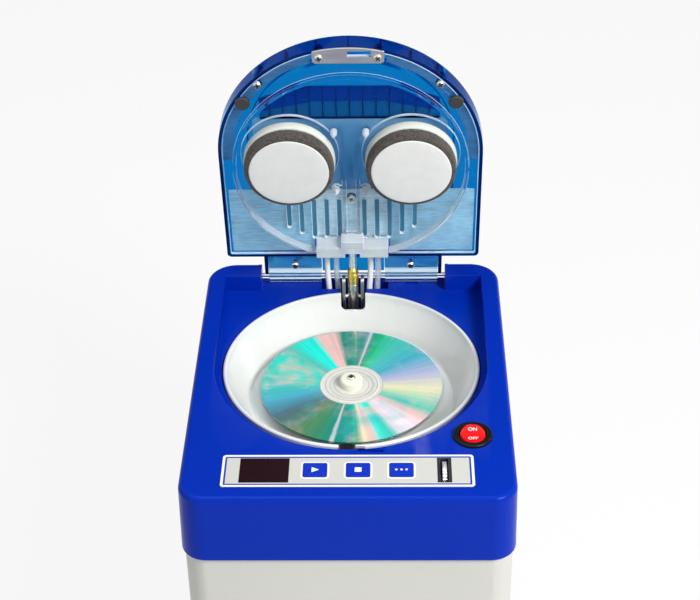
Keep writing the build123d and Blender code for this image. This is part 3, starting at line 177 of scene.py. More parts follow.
def scaled(tree, value, factor, offset, clamp=False):
    """A value times factor, plus offset."""
    return maths(tree, "ADD", maths(tree, "MULTIPLY", value, factor), offset, clamp)


def from_middle(tree, value, middle, factor, clamp=False):
    """A value's distance from its middle, times factor."""
    return maths(tree, "MULTIPLY", maths(tree, "SUBTRACT", value, middle), factor, clamp)


def noise_on(tree, place, scale, detail, **values):
    """Noise read at a place; gives its value."""
    return node(tree, "ShaderNodeTexNoise", [(place, "Vector")], Scale=scale, Detail=detail,
                **values).outputs[0]


def along_x(tree, value):
    """Place on the X axis, to read a pattern by one value."""
    return node(tree, "ShaderNodeCombineXYZ", [(value, 0)]).outputs[0]


def toned(tree, tone, colour):
    """Colour made lighter or darker by a tone round 1."""
    return node(tree, "ShaderNodeHueSaturation", [(tone, "Value"), (colour, "Color")]).outputs[0]


MIX_SOCKETS = (0, 6, 7)        # factor and the two colours
MIX_OUTPUT = 2


def mix_colours(tree, factor, first, second, blend="MIX"):
    """Colour mix of outputs or RGB values; gives its output."""
    made = tree.nodes.new("ShaderNodeMix")
    made.data_type = "RGBA"
    made.blend_type = blend
    for index, value in zip(MIX_SOCKETS, (factor, first, second)):
        socket = made.inputs[index]
        if isinstance(value, (int, float)):
            socket.default_value = value
        elif isinstance(value, tuple):
            socket.default_value = (*value, 1)
        else:
            tree.links.new(value, socket)
    return made.outputs[MIX_OUTPUT]


def ramp(tree, factor, stops):
    """Colour ramp with (position, RGB) stops; gives its colour."""
    made = tree.nodes.new("ShaderNodeValToRGB")
    elements = made.color_ramp.elements
    for element, (position, colour) in zip(elements, (stops[0], stops[-1])):
        element.position = position
        element.color = (*colour, 1)
    for position, colour in stops[1:-1]:
        elements.new(position).color = (*colour, 1)
    tree.links.new(factor, made.inputs[0])
    return made.outputs[0]


def surface_group(name, inputs):
    """Node group that puts out colour, roughness and height; gives its tree, inputs and results."""
    tree = bpy.data.node_groups.new(name, "ShaderNodeTree")
    for label, kind, default in inputs:
        socket = tree.interface.new_socket(label, in_out="INPUT", socket_type="NodeSocket" + kind)
        socket.default_value = default
    for label, kind in (("Colour", "Color"), ("Roughness", "Float"), ("Height", "Float")):
        tree.interface.new_socket(label, in_out="OUTPUT", socket_type="NodeSocket" + kind)
    return tree, tree.nodes.new("NodeGroupInput").outputs, tree.nodes.new("NodeGroupOutput").inputs


def moulded_group():
    """Moulded plastic: uneven tone, smudged gloss, a fine grain and a painted highlight that pales its edges.
    """
    tree, given, results = surface_group(
        "Moulded surface",
        [("Colour", "Color", (0.5, 0.5, 0.5, 1)), ("Tone", "Float", 0.05), ("Gloss", "Float", 0.2),
         ("Smudge", "Float", 0.05), ("Grain size", "Float", 900.0), ("Edge wear", "Float", 0.1)])
    place = tree.nodes.new("ShaderNodeTexCoord").outputs["Object"]
    drift = noise_on(tree, place, 22.0, 3.0)
    smudge = noise_on(tree, place, 75.0, 5.0, Roughness=0.65)
    grain = node(tree, "ShaderNodeTexNoise", [(place, "Vector"), (given["Grain size"], "Scale")], Detail=2.0)
    pointed = tree.nodes.new("ShaderNodeNewGeometry").outputs["Pointiness"]
    # Painted highlight: sharp edges are mixed towards a pale blue-white, as if they caught the light.
    edge = from_middle(tree, pointed, 0.53, 9.0, clamp=True)
    painted_edge_highlight = maths(tree, "MULTIPLY", maths(tree, "MULTIPLY", edge, smudge), given["Edge wear"])
    tone = scaled(tree, from_middle(tree, drift, 0.5, given["Tone"]), 2.0, 1.0)
    colour = mix_colours(tree, painted_edge_highlight, toned(tree, tone, given["Colour"]), (0.85, 0.88, 0.95))
    dull = from_middle(tree, smudge, 0.5, given["Smudge"])
    feed(tree, results, Colour=colour, Roughness=scaled(tree, dull, 2.0, given["Gloss"], clamp=True),
         Height=grain.outputs[0])


def brushed_group():
    """Brushed or turned metal: fine stretched lines, with a drift in tone."""
    tree, given, results = surface_group(
        "Brushed surface",
        [("Colour", "Color", (0.6, 0.6, 0.6, 1)), ("Gloss", "Float", 0.3), ("Spread", "Float", 0.12),
         ("Lines", "Float", 1400.0), ("Contrast", "Float", 0.16), ("Stretch", "Vector", (0.04, 1.0, 1.0))])
    place = tree.nodes.new("ShaderNodeTexCoord").outputs["Object"]
    stretched = node(tree, "ShaderNodeMapping", [(place, "Vector"), (given["Stretch"], "Scale")])
    lines = node(tree, "ShaderNodeTexNoise", [(stretched.outputs[0], "Vector"), (given["Lines"], "Scale")],
                 Detail=3.0).outputs[0]
    drift = noise_on(tree, place, 60.0, 2.0)
    change = maths(tree, "SUBTRACT", maths(tree, "ADD", lines, drift), 1.0)
    tone = scaled(tree, change, given["Contrast"], 1.0)
    spread = from_middle(tree, lines, 0.5, given["Spread"])
    feed(tree, results, Colour=toned(tree, tone, given["Colour"]),
         Roughness=maths(tree, "ADD", spread, given["Gloss"], clamp=True), Height=lines)


FINISH = {}                    # the materials by name


class Finish:
    """A material with its tree and its shader, kept in FINISH."""

    def __init__(self, name, **shader):
        self.material = FINISH[name] = bpy.data.materials.new(name)
        self.material.use_nodes = True
        self.tree = self.material.node_tree
        self.shader = self.tree.nodes["Principled BSDF"]
        for key, value in shader.items():
            self.shader.inputs[key.replace("_", " ")].default_value = value

    def feed(self, **outputs):
        """Links outputs to the shader's sockets."""
        feed(self.tree, self.shader.inputs, **outputs)

    def bump(self, height, distance):
        """Relief of the given depth, in millimetres."""
        relief = node(self.tree, "ShaderNodeBump", [(height, "Height")], Distance=distance * MM)
        self.feed(Normal=relief.outputs[0])

    def surface(self, group_name, depth, **values):
        """Feeds the shader from a surface group, with relief of the given depth."""
        placed = self.tree.nodes.new("ShaderNodeGroup")
        placed.node_tree = bpy.data.node_groups[group_name]
        for key, value in values.items():
            placed.inputs[key.replace("_", " ")].default_value = value
        self.feed(Base_Color=placed.outputs["Colour"], Roughness=placed.outputs["Roughness"])
        self.bump(placed.outputs["Height"], depth)

    def place(self):
        """Object coordinates, in metres."""
        return self.tree.nodes.new("ShaderNodeTexCoord").outputs["Object"]

    def from_spindle(self):
        """Place measured from the spindle, and the distance from it."""
        local = node(self.tree, "ShaderNodeVectorMath", [(self.place(), 0)], set_operation="SUBTRACT")
        local.inputs[1].default_value = spindle_point()
        away = node(self.tree, "ShaderNodeVectorMath", [(local.outputs[0], 0)], set_operation="LENGTH")
        return local.outputs[0], away.outputs["Value"]


# ---- Materials; grain and line sizes are counts per metre, depths are in millimetres ----
# The highlight setting is the share of painted highlight on sharp edges.
def moulded(name, colour, gloss, tone=0.05, smudge=0.04, grain=1100.0, depth=0.02, highlight=0.08, **shader):
    """Moulded plastic of one colour."""
    Finish(name, **shader).surface("Moulded surface", depth, Colour=(*colour, 1), Gloss=gloss, Tone=tone,
                                   Smudge=smudge, Grain_size=grain, Edge_wear=highlight)


def metal(name, colour, gloss, lines=1400.0, spread=0.12, **shader):
    """Bare or plated metal."""
    Finish(name, Metallic=1.0, **shader).surface("Brushed surface", 0.01, Colour=(*colour, 1), Gloss=gloss,
                                                 Spread=spread, Lines=lines)


def see_through(name, colour, gloss, transmission, index=1.3, grain=500.0, depth=0.008, smudge=0.03):
    """Clear or tinted moulding."""
    moulded(name, colour, gloss, 0.03, smudge, grain, depth, 0.0, Transmission_Weight=transmission, IOR=index)


def frosted_sheet(name, colour, transmission, lines):
    """Sheet with a fine brushing along X, as behind the lid's drain slots."""
    made = Finish(name, Transmission_Weight=transmission, IOR=1.15)
    made.surface("Brushed surface", 0.015, Colour=(*colour, 1), Gloss=0.32, Spread=0.15, Lines=lines,
                 Contrast=0.9, Stretch=(0.16, 1.0, 1.0))


def foam(colour):
    """Open-cell foam: lighter cell walls round pores painted dark, a painted shade in their hollows."""
    made = Finish("foam_grey", Roughness=0.95, Specular_IOR_Level=0.15, Sheen_Weight=0.15)
    tree, place = made.tree, made.place()
    cells = node(tree, "ShaderNodeTexVoronoi", [(place, "Vector")], Scale=1500.0)
    mixed = scaled(tree, cells.outputs["Distance"], 0.9, noise_on(tree, place, 620.0, 6.0))
    # Painted shade: the pores take a darkened colour, the cell walls a lighter one.
    dark, light = ([channel * share for channel in colour] for share in (0.35, 2.3))
    made.feed(Base_Color=ramp(tree, mixed, [(0.5, dark), (0.85, colour), (0.961538, light)]))
    made.bump(mixed, 0.5)


def cloth(colour):
    """Napped polishing cloth: short white fibres."""
    made = Finish("pad_white", Sheen_Weight=0.25, Specular_IOR_Level=0.2)
    tree, place = made.tree, made.place()
    fibres = noise_on(tree, place, 2600.0, 4.0, Distortion=1.5)
    clumps = noise_on(tree, place, 140.0, 3.0)
    tone = scaled(tree, fibres, 0.5, maths(tree, "MULTIPLY", clumps, 0.5))
    shade = [channel * 0.94 for channel in colour]
    made.feed(Base_Color=ramp(tree, tone, [(0.35, shade), (0.6, colour)]),
              Roughness=scaled(tree, fibres, 0.15, 0.8))
    made.bump(maths(tree, "ADD", fibres, clumps), 0.12)


def woven_sleeve():
    """White braided wire sleeve: two sets of slanting strands."""
    made = Finish("sleeve_white", Specular_IOR_Level=0.3)
    tree, place = made.tree, made.place()
    strands = []
    for side in (-1, 1):
        slanted = node(tree, "ShaderNodeMapping", [(place, "Vector")], Rotation=(0, side * 0.7, side * 0.5))
        strands.append(node(tree, "ShaderNodeTexWave", [(slanted.outputs[0], "Vector")], Scale=420.0,
                            set_bands_direction="Z").outputs["Fac"])
    weave = maths(tree, "MULTIPLY", *strands)
    made.feed(Base_Color=ramp(tree, weave, [(0.0, (0.84, 0.85, 0.86)), (0.7, (0.98, 0.98, 0.98))]),
              Roughness=scaled(tree, weave, -0.2, 0.6))
    made.bump(weave, 0.08)


TEAL = (0.07, 0.62, 0.48)
DEEP_TEAL = (0.01, 0.30, 0.22)
CYAN = (0.02, 0.95, 0.78)
GREEN = (0.01, 0.58, 0.22)
ROSE = (0.97, 0.60, 0.55)
LILAC = (0.48, 0.50, 0.74)
CREAM = (0.90, 0.84, 0.52)
PALE = (1.0, 0.86, 0.92)
SEA_BLUE = (0.08, 0.44, 0.60)
SLATE = (0.09, 0.17, 0.22)
OLIVE = (0.09, 0.24, 0.07)
# Painted reflection: rainbow colour that the grooves send back, against the direction from the spindle, in
# degrees anticlockwise from the right
REFLECTED_STREAKS = [
    (-180, TEAL), (-163, SEA_BLUE), (-146, SLATE), (-124, OLIVE), (-103.6, DEEP_TEAL), (-102, PALE),
    (-100.4, DEEP_TEAL), (-88.6, DEEP_TEAL), (-87, GREEN), (-85.4, DEEP_TEAL), (-81, CREAM), (-75, ROSE),
    (-70, CYAN), (-63, TEAL), (-57, PALE), (-45, PALE), (-37, ROSE), (-28, TEAL), (-5, CREAM), (15, LILAC),
    (35, SEA_BLUE), (58, TEAL), (68, GREEN), (75.8, DEEP_TEAL), (77.5, PALE), (79.2, DEEP_TEAL),
    (98, DEEP_TEAL), (103, ROSE), (113, ROSE), (118, CYAN), (128, CYAN), (136, TEAL)]
# Painted reflection: blotches of rainbow colour blended into the streaks.
REFLECTED_PATCHES = [(0.36, SEA_BLUE), (0.44, TEAL), (0.50, LILAC), (0.56, ROSE), (0.64, CYAN)]


def disc_data():
    """Recorded side of the disc under clear lacquer: its radial rainbow streaks, blotches and darker fans are
    a painted reflection.
    """
    made = Finish("disc_face", Roughness=0.26, Specular_IOR_Level=0.2, Coat_Weight=0.15, Coat_Roughness=0.04)
    tree = made.tree
    place, radius = made.from_spindle()
    axes = node(tree, "ShaderNodeSeparateXYZ", [(place, 0)]).outputs
    angle = maths(tree, "ARCTAN2", axes[1], axes[0])
    patches = noise_on(tree, place, 38.0, 3.0, Distortion=0.8)
    turned = scaled(tree, angle, 0.5 / math.pi, 0.5)
    drift = from_middle(tree, patches, 0.5, 0.007)
    stops = [((degrees + 180) / 360, colour) for degrees, colour in REFLECTED_STREAKS]
    streaks = ramp(tree, maths(tree, "ADD", turned, drift), stops)
    spread = noise_on(tree, place, 21.0, 4.0, Roughness=0.6, Distortion=0.4)
    share = maths(tree, "MULTIPLY", from_middle(tree, spread, 0.46, 4.5, clamp=True), 0.65)
    blurred = mix_colours(tree, share, streaks, ramp(tree, patches, REFLECTED_PATCHES))
    # Painted reflection: fans of darker colour across the angle, where the grooves send back less light.
    fan = noise_on(tree, along_x(tree, angle), 16.0, 4.0, Roughness=0.7)
    darker = ramp(tree, fan, [(0.3, (0.34, 0.38, 0.37)), (0.62, (1, 1, 1))])
    shaded = mix_colours(tree, 0.30, blurred, darker, "MULTIPLY")
    rings = noise_on(tree, along_x(tree, radius), 700.0, 2.0)
    made.feed(Base_Color=mix_colours(tree, 0.10, shaded, rings, "MULTIPLY"))


MIDDLE_RADIUS = 24.0           # the clear middle's rings are measured against this, in millimetres
RING_SPREAD = 0.014            # share of it over which a ring fades
MIDDLE_BODY = (0.98, 0.97, 0.90)
MIDDLE_LINE = (0.46, 0.46, 0.42)
# A grey between the body and the lines, used for two of the rings.
MIDDLE_GREY = (0.80, 0.79, 0.72)
MIDDLE_RINGS = [(11.3, MIDDLE_LINE), (13.0, MIDDLE_GREY), (14.1, MIDDLE_LINE), (16.9, MIDDLE_LINE),
                (19.2, MIDDLE_GREY), (20.4, MIDDLE_LINE)]


def disc_middle():
    """Clear middle of the disc, with the fine rings of its moulding."""
    made = Finish("disc_clear", Transmission_Weight=0.3, IOR=1.25)
    tree = made.tree
    _, away = made.from_spindle()
    stops = [(0.40, MIDDLE_BODY)]
    for radius, colour in MIDDLE_RINGS:
        at = radius / MIDDLE_RADIUS
        stops += [(at - RING_SPREAD, MIDDLE_BODY), (at, colour), (at + RING_SPREAD, MIDDLE_BODY)]
    rings = ramp(tree, maths(tree, "DIVIDE", away, MIDDLE_RADIUS * MM), stops)
    haze = noise_on(tree, made.place(), 420.0, 4.0)
    dulled = ramp(tree, haze, [(0.4, (0.7, 0.7, 0.66)), (0.6, (1, 1, 1))])
    made.feed(Base_Color=mix_colours(tree, 0.18, rings, dulled, "MULTIPLY"),
              Roughness=scaled(tree, haze, 0.15, 0.05))
    made.bump(rings, 0.05)


def circuit_board():
    """Green solder mask with paler tracks."""
    made = Finish("board_green", Roughness=0.35)
    tracks = node(made.tree, "ShaderNodeTexVoronoi", [(made.place(), "Vector")], Scale=190.0,
                  set_distance="MANHATTAN").outputs["Distance"]
    made.feed(Base_Color=ramp(made.tree, tracks, [(0.0, (0.02, 0.12, 0.04)), (0.48, (0.02, 0.15, 0.05)),
                                                  (0.52, (0.05, 0.28, 0.09)), (0.6, (0.02, 0.12, 0.04))]))
    made.bump(tracks, 0.05)


def make_finishes(colours):
    """All materials of the machine."""
    moulded_group()
    brushed_group()
    moulded("cover_blue", colours.cover, 0.24, tone=0.035, smudge=0.06, grain=1500.0, depth=0.03, highlight=0.10,
            Specular_IOR_Level=0.08)
    moulded("casing_grey", colours.casing, 0.45, tone=0.03, smudge=0.06, grain=1800.0, depth=0.06)
    moulded("bowl_white", colours.bowl, 0.16, tone=0.012, smudge=0.05, depth=0.012, highlight=0.0, Coat_Weight=0.3)
    moulded("rubber_black", (0.028, 0.028, 0.03), 0.62, smudge=0.1, grain=2200.0, depth=0.05, highlight=0.25)
    moulded("black_plastic", (0.005, 0.005, 0.005), 0.33, smudge=0.08, Specular_IOR_Level=0.16)
    moulded("label_white", colours.label, 0.38, tone=0.015, grain=2600.0, depth=0.01, highlight=0.0)
    moulded("print_white", (0.88, 0.89, 0.89), 0.4, tone=0.01, highlight=0.0)
    moulded("print_navy", (0.004, 0.045, 0.36), 0.35, tone=0.02, highlight=0.0, Specular_IOR_Level=0.2)
    moulded("key_blue", colours.print_blue, 0.28, tone=0.03, highlight=0.12, Specular_IOR_Level=0.15)
    moulded("window_dark", colours.window, 0.22, tone=0.1, smudge=0.05, depth=0.004, highlight=0.0,
            Specular_IOR_Level=0.10)
    moulded("hub_ivory", colours.ivory, 0.30, tone=0.02, highlight=0.0)
    moulded("cap_ivory", colours.cap, 0.34, tone=0.03, highlight=0.0, Subsurface_Weight=0.08,
            Subsurface_Scale=0.004)
    moulded("rocker_red", colours.rocker, 0.22, highlight=0.05, Specular_IOR_Level=0.25)
    moulded("hose_grey", (0.62, 0.64, 0.64), 0.35)
    see_through("lid_blue", colours.lid, 0.06, 1.0, index=1.12)
    see_through("lid_edge", (0.0, 0.012, 0.10), 0.12, 0.3, index=1.2)
    see_through("lid_deep", (0.002, 0.05, 0.34), 0.15, 0.35, index=1.15, smudge=0.1)
    see_through("lid_teal", (0.01, 0.29, 0.70), 0.15, 0.75, index=1.15, smudge=0.1)
    see_through("clear_plastic", colours.clear, 0.07, 1.0, index=1.10)
    see_through("clear_ring", (0.90, 0.95, 0.98), 0.18, 0.62, index=1.10)
    # Painted highlight: a whiter, less clear finish for the rounded edges and side walls of clear parts.
    see_through("clear_edge_highlight", (0.92, 0.97, 1.0), 0.18, 0.25, index=1.15)
    see_through("clear_haze", (0.93, 0.96, 0.97), 0.22, 0.48, index=1.12, grain=900.0, depth=0.02)
    see_through("knuckle_clear", (0.60, 0.78, 0.90), 0.10, 0.96, index=1.07)
    see_through("carrier_haze", (0.42, 0.66, 0.78), 0.25, 0.68, index=1.12, depth=0.02)
    see_through("slot_blue", (0.17, 0.50, 0.72), 0.15, 0.45, index=1.1)
    see_through("hose_clear", (0.86, 0.93, 0.97), 0.12, 0.75, index=1.2)
    see_through("tank_plastic", (0.86, 0.89, 0.88), 0.4, 0.45, depth=0.03)
    frosted_sheet("flange_haze", (0.22, 0.44, 0.60), 0.74, 500.0)
    frosted_sheet("frosted_sheet", colours.haze, 0.42, 900.0)
    frosted_sheet("frosted_middle", (0.80, 0.90, 0.93), 0.30, 900.0)
    metal("steel", (0.56, 0.55, 0.53), 0.34, Anisotropic=0.5)
    metal("chrome_rod", (0.86, 0.86, 0.87), 0.27, spread=0.08)
    metal("dial_metal", (0.66, 0.66, 0.68), 0.30, spread=0.1)
    metal("screw_metal", (0.74, 0.69, 0.58), 0.26, lines=2600.0)
    # Painted shade: dark finish for the screws' cross recesses.
    metal("screw_recess_shade", (0.10, 0.085, 0.06), 0.5, lines=2600.0)
    metal("brass_gland", (0.90, 0.66, 0.16), 0.28, lines=2200.0)
    metal("motor_metal", (0.42, 0.42, 0.43), 0.42, spread=0.2)
    foam(colours.foam)
    cloth(colours.pad)
    disc_data()
    disc_middle()
    woven_sleeve()
    circuit_board()


# ---- Shapes, worked in millimetres ----
def linked(name, data):
    """New object in the scene."""
    made = bpy.data.objects.new(name, data)
    bpy.context.scene.collection.objects.link(made)
    return made


def mesh_from(bm, name):
    """New mesh of a bmesh, which is freed."""
    mesh = bpy.data.meshes.new(name)
    bm.to_mesh(mesh)
    bm.free()
    return mesh


def bmesh_of_curve(name, curve, merge):
    """Bmesh of a curve or text, which is removed; points nearer than merge become one."""
    carrier = linked(name, curve)
    mesh = bpy.data.meshes.new_from_object(carrier.evaluated_get(bpy.context.evaluated_depsgraph_get()))
    bpy.data.objects.remove(carrier)
    bpy.data.curves.remove(curve)
    bm = bmesh.new()
    bm.from_mesh(mesh)
    bpy.data.meshes.remove(mesh)
    bmesh.ops.remove_doubles(bm, verts=bm.verts, dist=merge)
    return bm


def of_kind(parts, kind):
    """The vertices, edges or faces among mixed parts."""
    return [part for part in parts if isinstance(part, kind)]


def moved(bm, x=0.0, y=0.0, z=0.0):
    """Shifts a whole bmesh."""
    bmesh.ops.translate(bm, vec=(x, y, z), verts=bm.verts)
    return bm


def rounded(bm, geom, offset, segments, affect="EDGES"):
    """Bevels edges or corners; gives the new faces."""
    return bmesh.ops.bevel(bm, geom=geom, offset=offset, segments=segments, profile=0.5, affect=affect,
                           material=-1)["faces"]


def raised(bm, rise):
    """Gives flat faces their thickness."""
    grown = bmesh.ops.extrude_face_region(bm, geom=bm.faces[:])["geom"]
    bmesh.ops.translate(bm, vec=(0, 0, rise), verts=of_kind(grown, bmesh.types.BMVert))
    return bm


def joined(parts):
    """One bmesh holding several; the others are freed."""
    whole = bmesh.new()
    for part in parts:
        carrier = mesh_from(part, "carrier")
        whole.from_mesh(carrier)
        bpy.data.meshes.remove(carrier)
    return whole


def spun(points, closed=False, steps=96):
    """Profile of (radius, height) points turned once round the Z axis."""
    bm = bmesh.new()
    verts = [bm.verts.new((radius, 0, height)) for radius, height in points]
    pairs = list(zip(verts, verts[1:])) + ([(verts[-1], verts[0])] if closed else [])
    edges = [bm.edges.new(pair) for pair in pairs]
    bmesh.ops.spin(bm, geom=verts + edges, cent=(0, 0, 0), axis=(0, 0, 1), dvec=(0, 0, 0),
                   angle=2 * math.pi, steps=steps, use_merge=True)
    bmesh.ops.remove_doubles(bm, verts=bm.verts, dist=1e-4)
    return bm


def block(x0, x1, y0, y1, z0, z1, edge=0.0):
    """Box between two corners, with its edges rounded."""
    bm = bmesh.new()
    bmesh.ops.create_cube(bm, size=1.0)
    bmesh.ops.scale(bm, vec=(x1 - x0, y1 - y0, z1 - z0), verts=bm.verts)
    moved(bm, (x0 + x1) / 2, (y0 + y1) / 2, (z0 + z1) / 2)
    if edge:
        rounded(bm, bm.edges[:], edge, 2)
    return bm


CORNER_STEPS = 6               # faces in a rounded corner of a flat outline


def outlined(points, z, corner):
    """Flat face inside an outline at height z, with its corners rounded."""
    bm = bmesh.new()
    face = bm.faces.new([bm.verts.new((x, y, z)) for x, y in points])
    if corner:
        rounded(bm, face.verts[:], corner, CORNER_STEPS, "VERTICES")
    return bm


def slab(points, z0, z1, corner=0.0):
    """Flat outline raised from z0 to z1, with its corners rounded."""
    return raised(outlined(points, z0, corner), z1 - z0)


def rectangle(half_x, half_y, x=0.0, y=0.0):
    """Corners of a rectangle round a centre."""
    return [(x + sx * half_x, y + sy * half_y) for sx, sy in ((-1, -1), (1, -1), (1, 1), (-1, 1))]


def flat_frame(half_x, half_y, corner, width, z0, z1, x=0.0, y=0.0):
    """Rectangular printed frame: a rounded outline with its middle cut out."""
    bm = outlined(rectangle(half_x, half_y, x, y), z0, corner)
    bmesh.ops.inset_region(bm, faces=bm.faces[:], thickness=width, use_boundary=True, use_even_offset=True)
    middle = max(bm.faces, key=lambda item: len(item.verts))
    bmesh.ops.delete(bm, geom=[middle], context="FACES_ONLY")
    return raised(bm, z1 - z0)


SCREW_RADIUS = 2.6
SCREW_HEIGHT = 1.3
SHANK_RADIUS = 1.4
# Shares of the head's radius
TOP_SHARE = 0.78
CROSS_ARM = 0.68
CROSS_WIDTH = 0.34
# Shares of its height
RIM_SHARE = 0.45
CROSS_DEPTH = 0.75


def screw(shank):
    """Cross-head screw with its head's underside at z 0 and its shank pointing down."""
    bm = bmesh.new()
    circle = bmesh.ops.create_circle(bm, segments=32, radius=SCREW_RADIUS * TOP_SHARE)["verts"]
    bmesh.ops.translate(bm, vec=(0, 0, SCREW_HEIGHT), verts=circle)
    loop = bm.edges[:]
    long, short = SCREW_RADIUS * CROSS_ARM, SCREW_RADIUS * CROSS_WIDTH / 2
    cross = []
    for quarter in range(4):
        spin = Matrix.Rotation(quarter * math.pi / 2, 2)
        for corner in ((long, -short), (long, short), (short, short)):
            cross.append(bm.verts.new((*(spin @ Vector(corner)), SCREW_HEIGHT)))
    cross_edges = [bm.edges.new((cross[index - 1], cross[index])) for index in range(len(cross))]
    bmesh.ops.triangle_fill(bm, edges=loop + cross_edges, use_beauty=True)
    inner = [face for face in bm.faces if all(vert in cross for vert in face.verts)]
    bmesh.ops.delete(bm, geom=inner, context="FACES_ONLY")
    walls = bmesh.ops.extrude_edge_only(bm, edges=cross_edges)["geom"]
    low = of_kind(walls, bmesh.types.BMVert)
    bmesh.ops.translate(bm, vec=(0, 0, -SCREW_HEIGHT * CROSS_DEPTH), verts=low)
    bmesh.ops.scale(bm, vec=(0.8, 0.8, 1), verts=low)
    bottom = bmesh.ops.contextual_create(bm, geom=of_kind(walls, bmesh.types.BMEdge))
    # Painted shade: the cross recess's walls and floor take the second, dark finish.
    for face in bottom["faces"] + of_kind(walls, bmesh.types.BMFace):
        face.material_index = 1
    for radius, z in ((SCREW_RADIUS, SCREW_HEIGHT * RIM_SHARE), (SCREW_RADIUS, 0.0), (SHANK_RADIUS, 0.0),
                      (SHANK_RADIUS, -shank)):
        drawn = bmesh.ops.extrude_edge_only(bm, edges=loop)["geom"]
        loop = of_kind(drawn, bmesh.types.BMEdge)
        for vert in of_kind(drawn, bmesh.types.BMVert):
            flat = Vector(vert.co.xy).normalized() * radius
            vert.co = (flat.x, flat.y, z)
    bmesh.ops.contextual_create(bm, geom=loop)
    return bm


# Upright planes that cut through a piece's holes, so that its flat faces stay simple when edges are rounded:
# plan, places across (x or u), places front to back (y or v), all in millimetres
CUTS = {
    "top_cover": (BENCH, (-86.3, -48.85, -19.1, 6.5, 31.4, 40.0, 56.5, 74.3, 86.3), ()),
    "lower_casing": (BENCH, (-86.3, -35.0, 60.0, 86.3), ()),
    "rubber_feet": (BENCH, (-72.0, 72.0), ()),
    "dc_inlet": (BENCH, (60.0,), ()),
    "bowl": (BENCH, (-35.0, 0.0), ()),
    "turntable_hub": (BENCH, (0.0,), ()),
    "dial_bezel": (BENCH, (56.5,), ()),
    "power_switch_body": (BENCH, (74.3,), ()),
    "power_rocker": (BENCH, (74.3,), ()),
    "strut_bracket": (BENCH, (-25.0, 0.0, 25.0), (88.0,)),
    "strut_cylinder": (BENCH, (0.0,), (88.0,)),
    "strut_gland": (BENCH, (0.0,), ()),
    "lid_shell": (LID, (-57.0, -18.15, 0.0, 18.15, 57.0), ()),
    "lid_inner_plate": (LID, (-67.0, -57.0, -41.75, -33.4, -25.05, -16.7, -8.35, 0.0, 8.35, 16.7, 25.05, 33.4,
                              41.75, 57.0, 67.0), ()),
    "motor_carrier": (LID, (-39.0, 0.0, 39.0), ()),
    "hinge_knuckles": (LID, (-39.4, 39.4), ()),
    "spray_manifold": (LID, (-17.3, -9.9, 0.0, 9.9, 17.3), ()),
    "latch_plate": (LID, (-18.15, 6.8, 18.15), ()),
}


CREASE = 28.0                  # edges sharper than this are rounded, degrees
FLAT = 0.4                     # faces that turn by less than this become one, degrees


def merged_copy(node_name, edge):
    """Copy of a frame node with doubles merged and its sharp edges rounded, in metres."""
    bm = bmesh.new()
    bm.from_mesh(frame["nodes"][node_name].data)
    bmesh.ops.remove_doubles(bm, verts=bm.verts, dist=1e-6)
    if not edge:
        return bm
    surface = BVHTree.FromBMesh(bm)
    plan, across, along = CUTS.get(node_name, (BENCH, (), ()))
    planes = [((place, 0, 0), (1, 0, 0)) for place in across]
    planes += [((0, place, 0), (0, 1, 0)) for place in along]
    for point, normal in planes:
        cut = bmesh.ops.bisect_plane(bm, geom=bm.verts[:] + bm.edges[:] + bm.faces[:], dist=2e-7,
                                     plane_co=plan @ Vector(point), plane_no=plan.to_3x3() @ Vector(normal))
        for part in of_kind(cut["geom_cut"], bmesh.types.BMEdge):
            part.seam = True
    bmesh.ops.dissolve_limit(bm, angle_limit=math.radians(FLAT), use_dissolve_boundaries=False,
                             verts=bm.verts, edges=bm.edges, delimit={"SEAM"})
    sharp = [item for item in bm.edges
             if len(item.link_faces) == 2 and item.calc_face_angle(0) > math.radians(CREASE)]
    # The rounded faces take the second finish; on the clear plate and manifold that is a painted highlight.
    for face in rounded(bm, sharp, edge * MM, 2):
        face.material_index = 1
    for vert in bm.verts:
        nearest, _, _, distance = surface.find_nearest(vert.co)
        if distance > edge * MM:
            vert.co = nearest
    return bm


def lettering(word, size, height):
    """Raised word, centred on the origin."""
    curve = bpy.data.curves.new("lettering", "FONT")
    curve.body = word
    curve.size = size
    curve.extrude = height / 2
    curve.offset = size * 0.012
    curve.align_x = "CENTER"
    curve.align_y = "CENTER"
    return bmesh_of_curve("lettering", curve, 1e-4)


def finish(bm, name, finish_name, body, place=None, replaces=(), crease=35.0, even=False,
           others=()):
    """Turns a bmesh into a named piece that rides on a body; others are its further materials."""
    if place is not None:
        bmesh.ops.transform(bm, matrix=place, verts=bm.verts)
        bmesh.ops.recalc_face_normals(bm, faces=bm.faces)
    mesh = mesh_from(bm, name)
    mesh.polygons.foreach_set("use_smooth", [True] * len(mesh.polygons))
    mesh.set_sharp_from_angle(angle=math.radians(crease))
    for used in (finish_name, *(others or [finish_name])):
        mesh.materials.append(FINISH[used])
    piece = linked(name, mesh)
    if even:
        shading = piece.modifiers.new("Even shading", "WEIGHTED_NORMAL")
        shading.keep_sharp = True
        shading.weight = 100
    if body:
        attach(piece, body)
    if replaces:
        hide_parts(*replaces)
    return piece


BODY_OF = {name: body for body, names in frame["record"]["behaviour"]["bodies"].items() for name in names}


# Rounding of each node's edges, in millimetres; where no other is given, the rest keep theirs
EDGES = {
    "lower_casing": 0.35, "base_plate": 0.3, "rubber_feet": 0.5, "dc_inlet": 0.2, "bowl": 0.3,
    "turntable_hub": 0.3, "display_window": 0.12, "dial_bezel": 0.2, "power_switch_body": 0.3,
    "power_rocker": 0.35, "motor_carrier": 0.2, "hinge_knuckles": 0.3, "hinge_pin": 0.2,
    "spray_manifold": 0.3, "latch_plate": 0.2, "strut_bracket": 0.2, "strut_cylinder": 0.2,
    "strut_gland": 0.15,
}


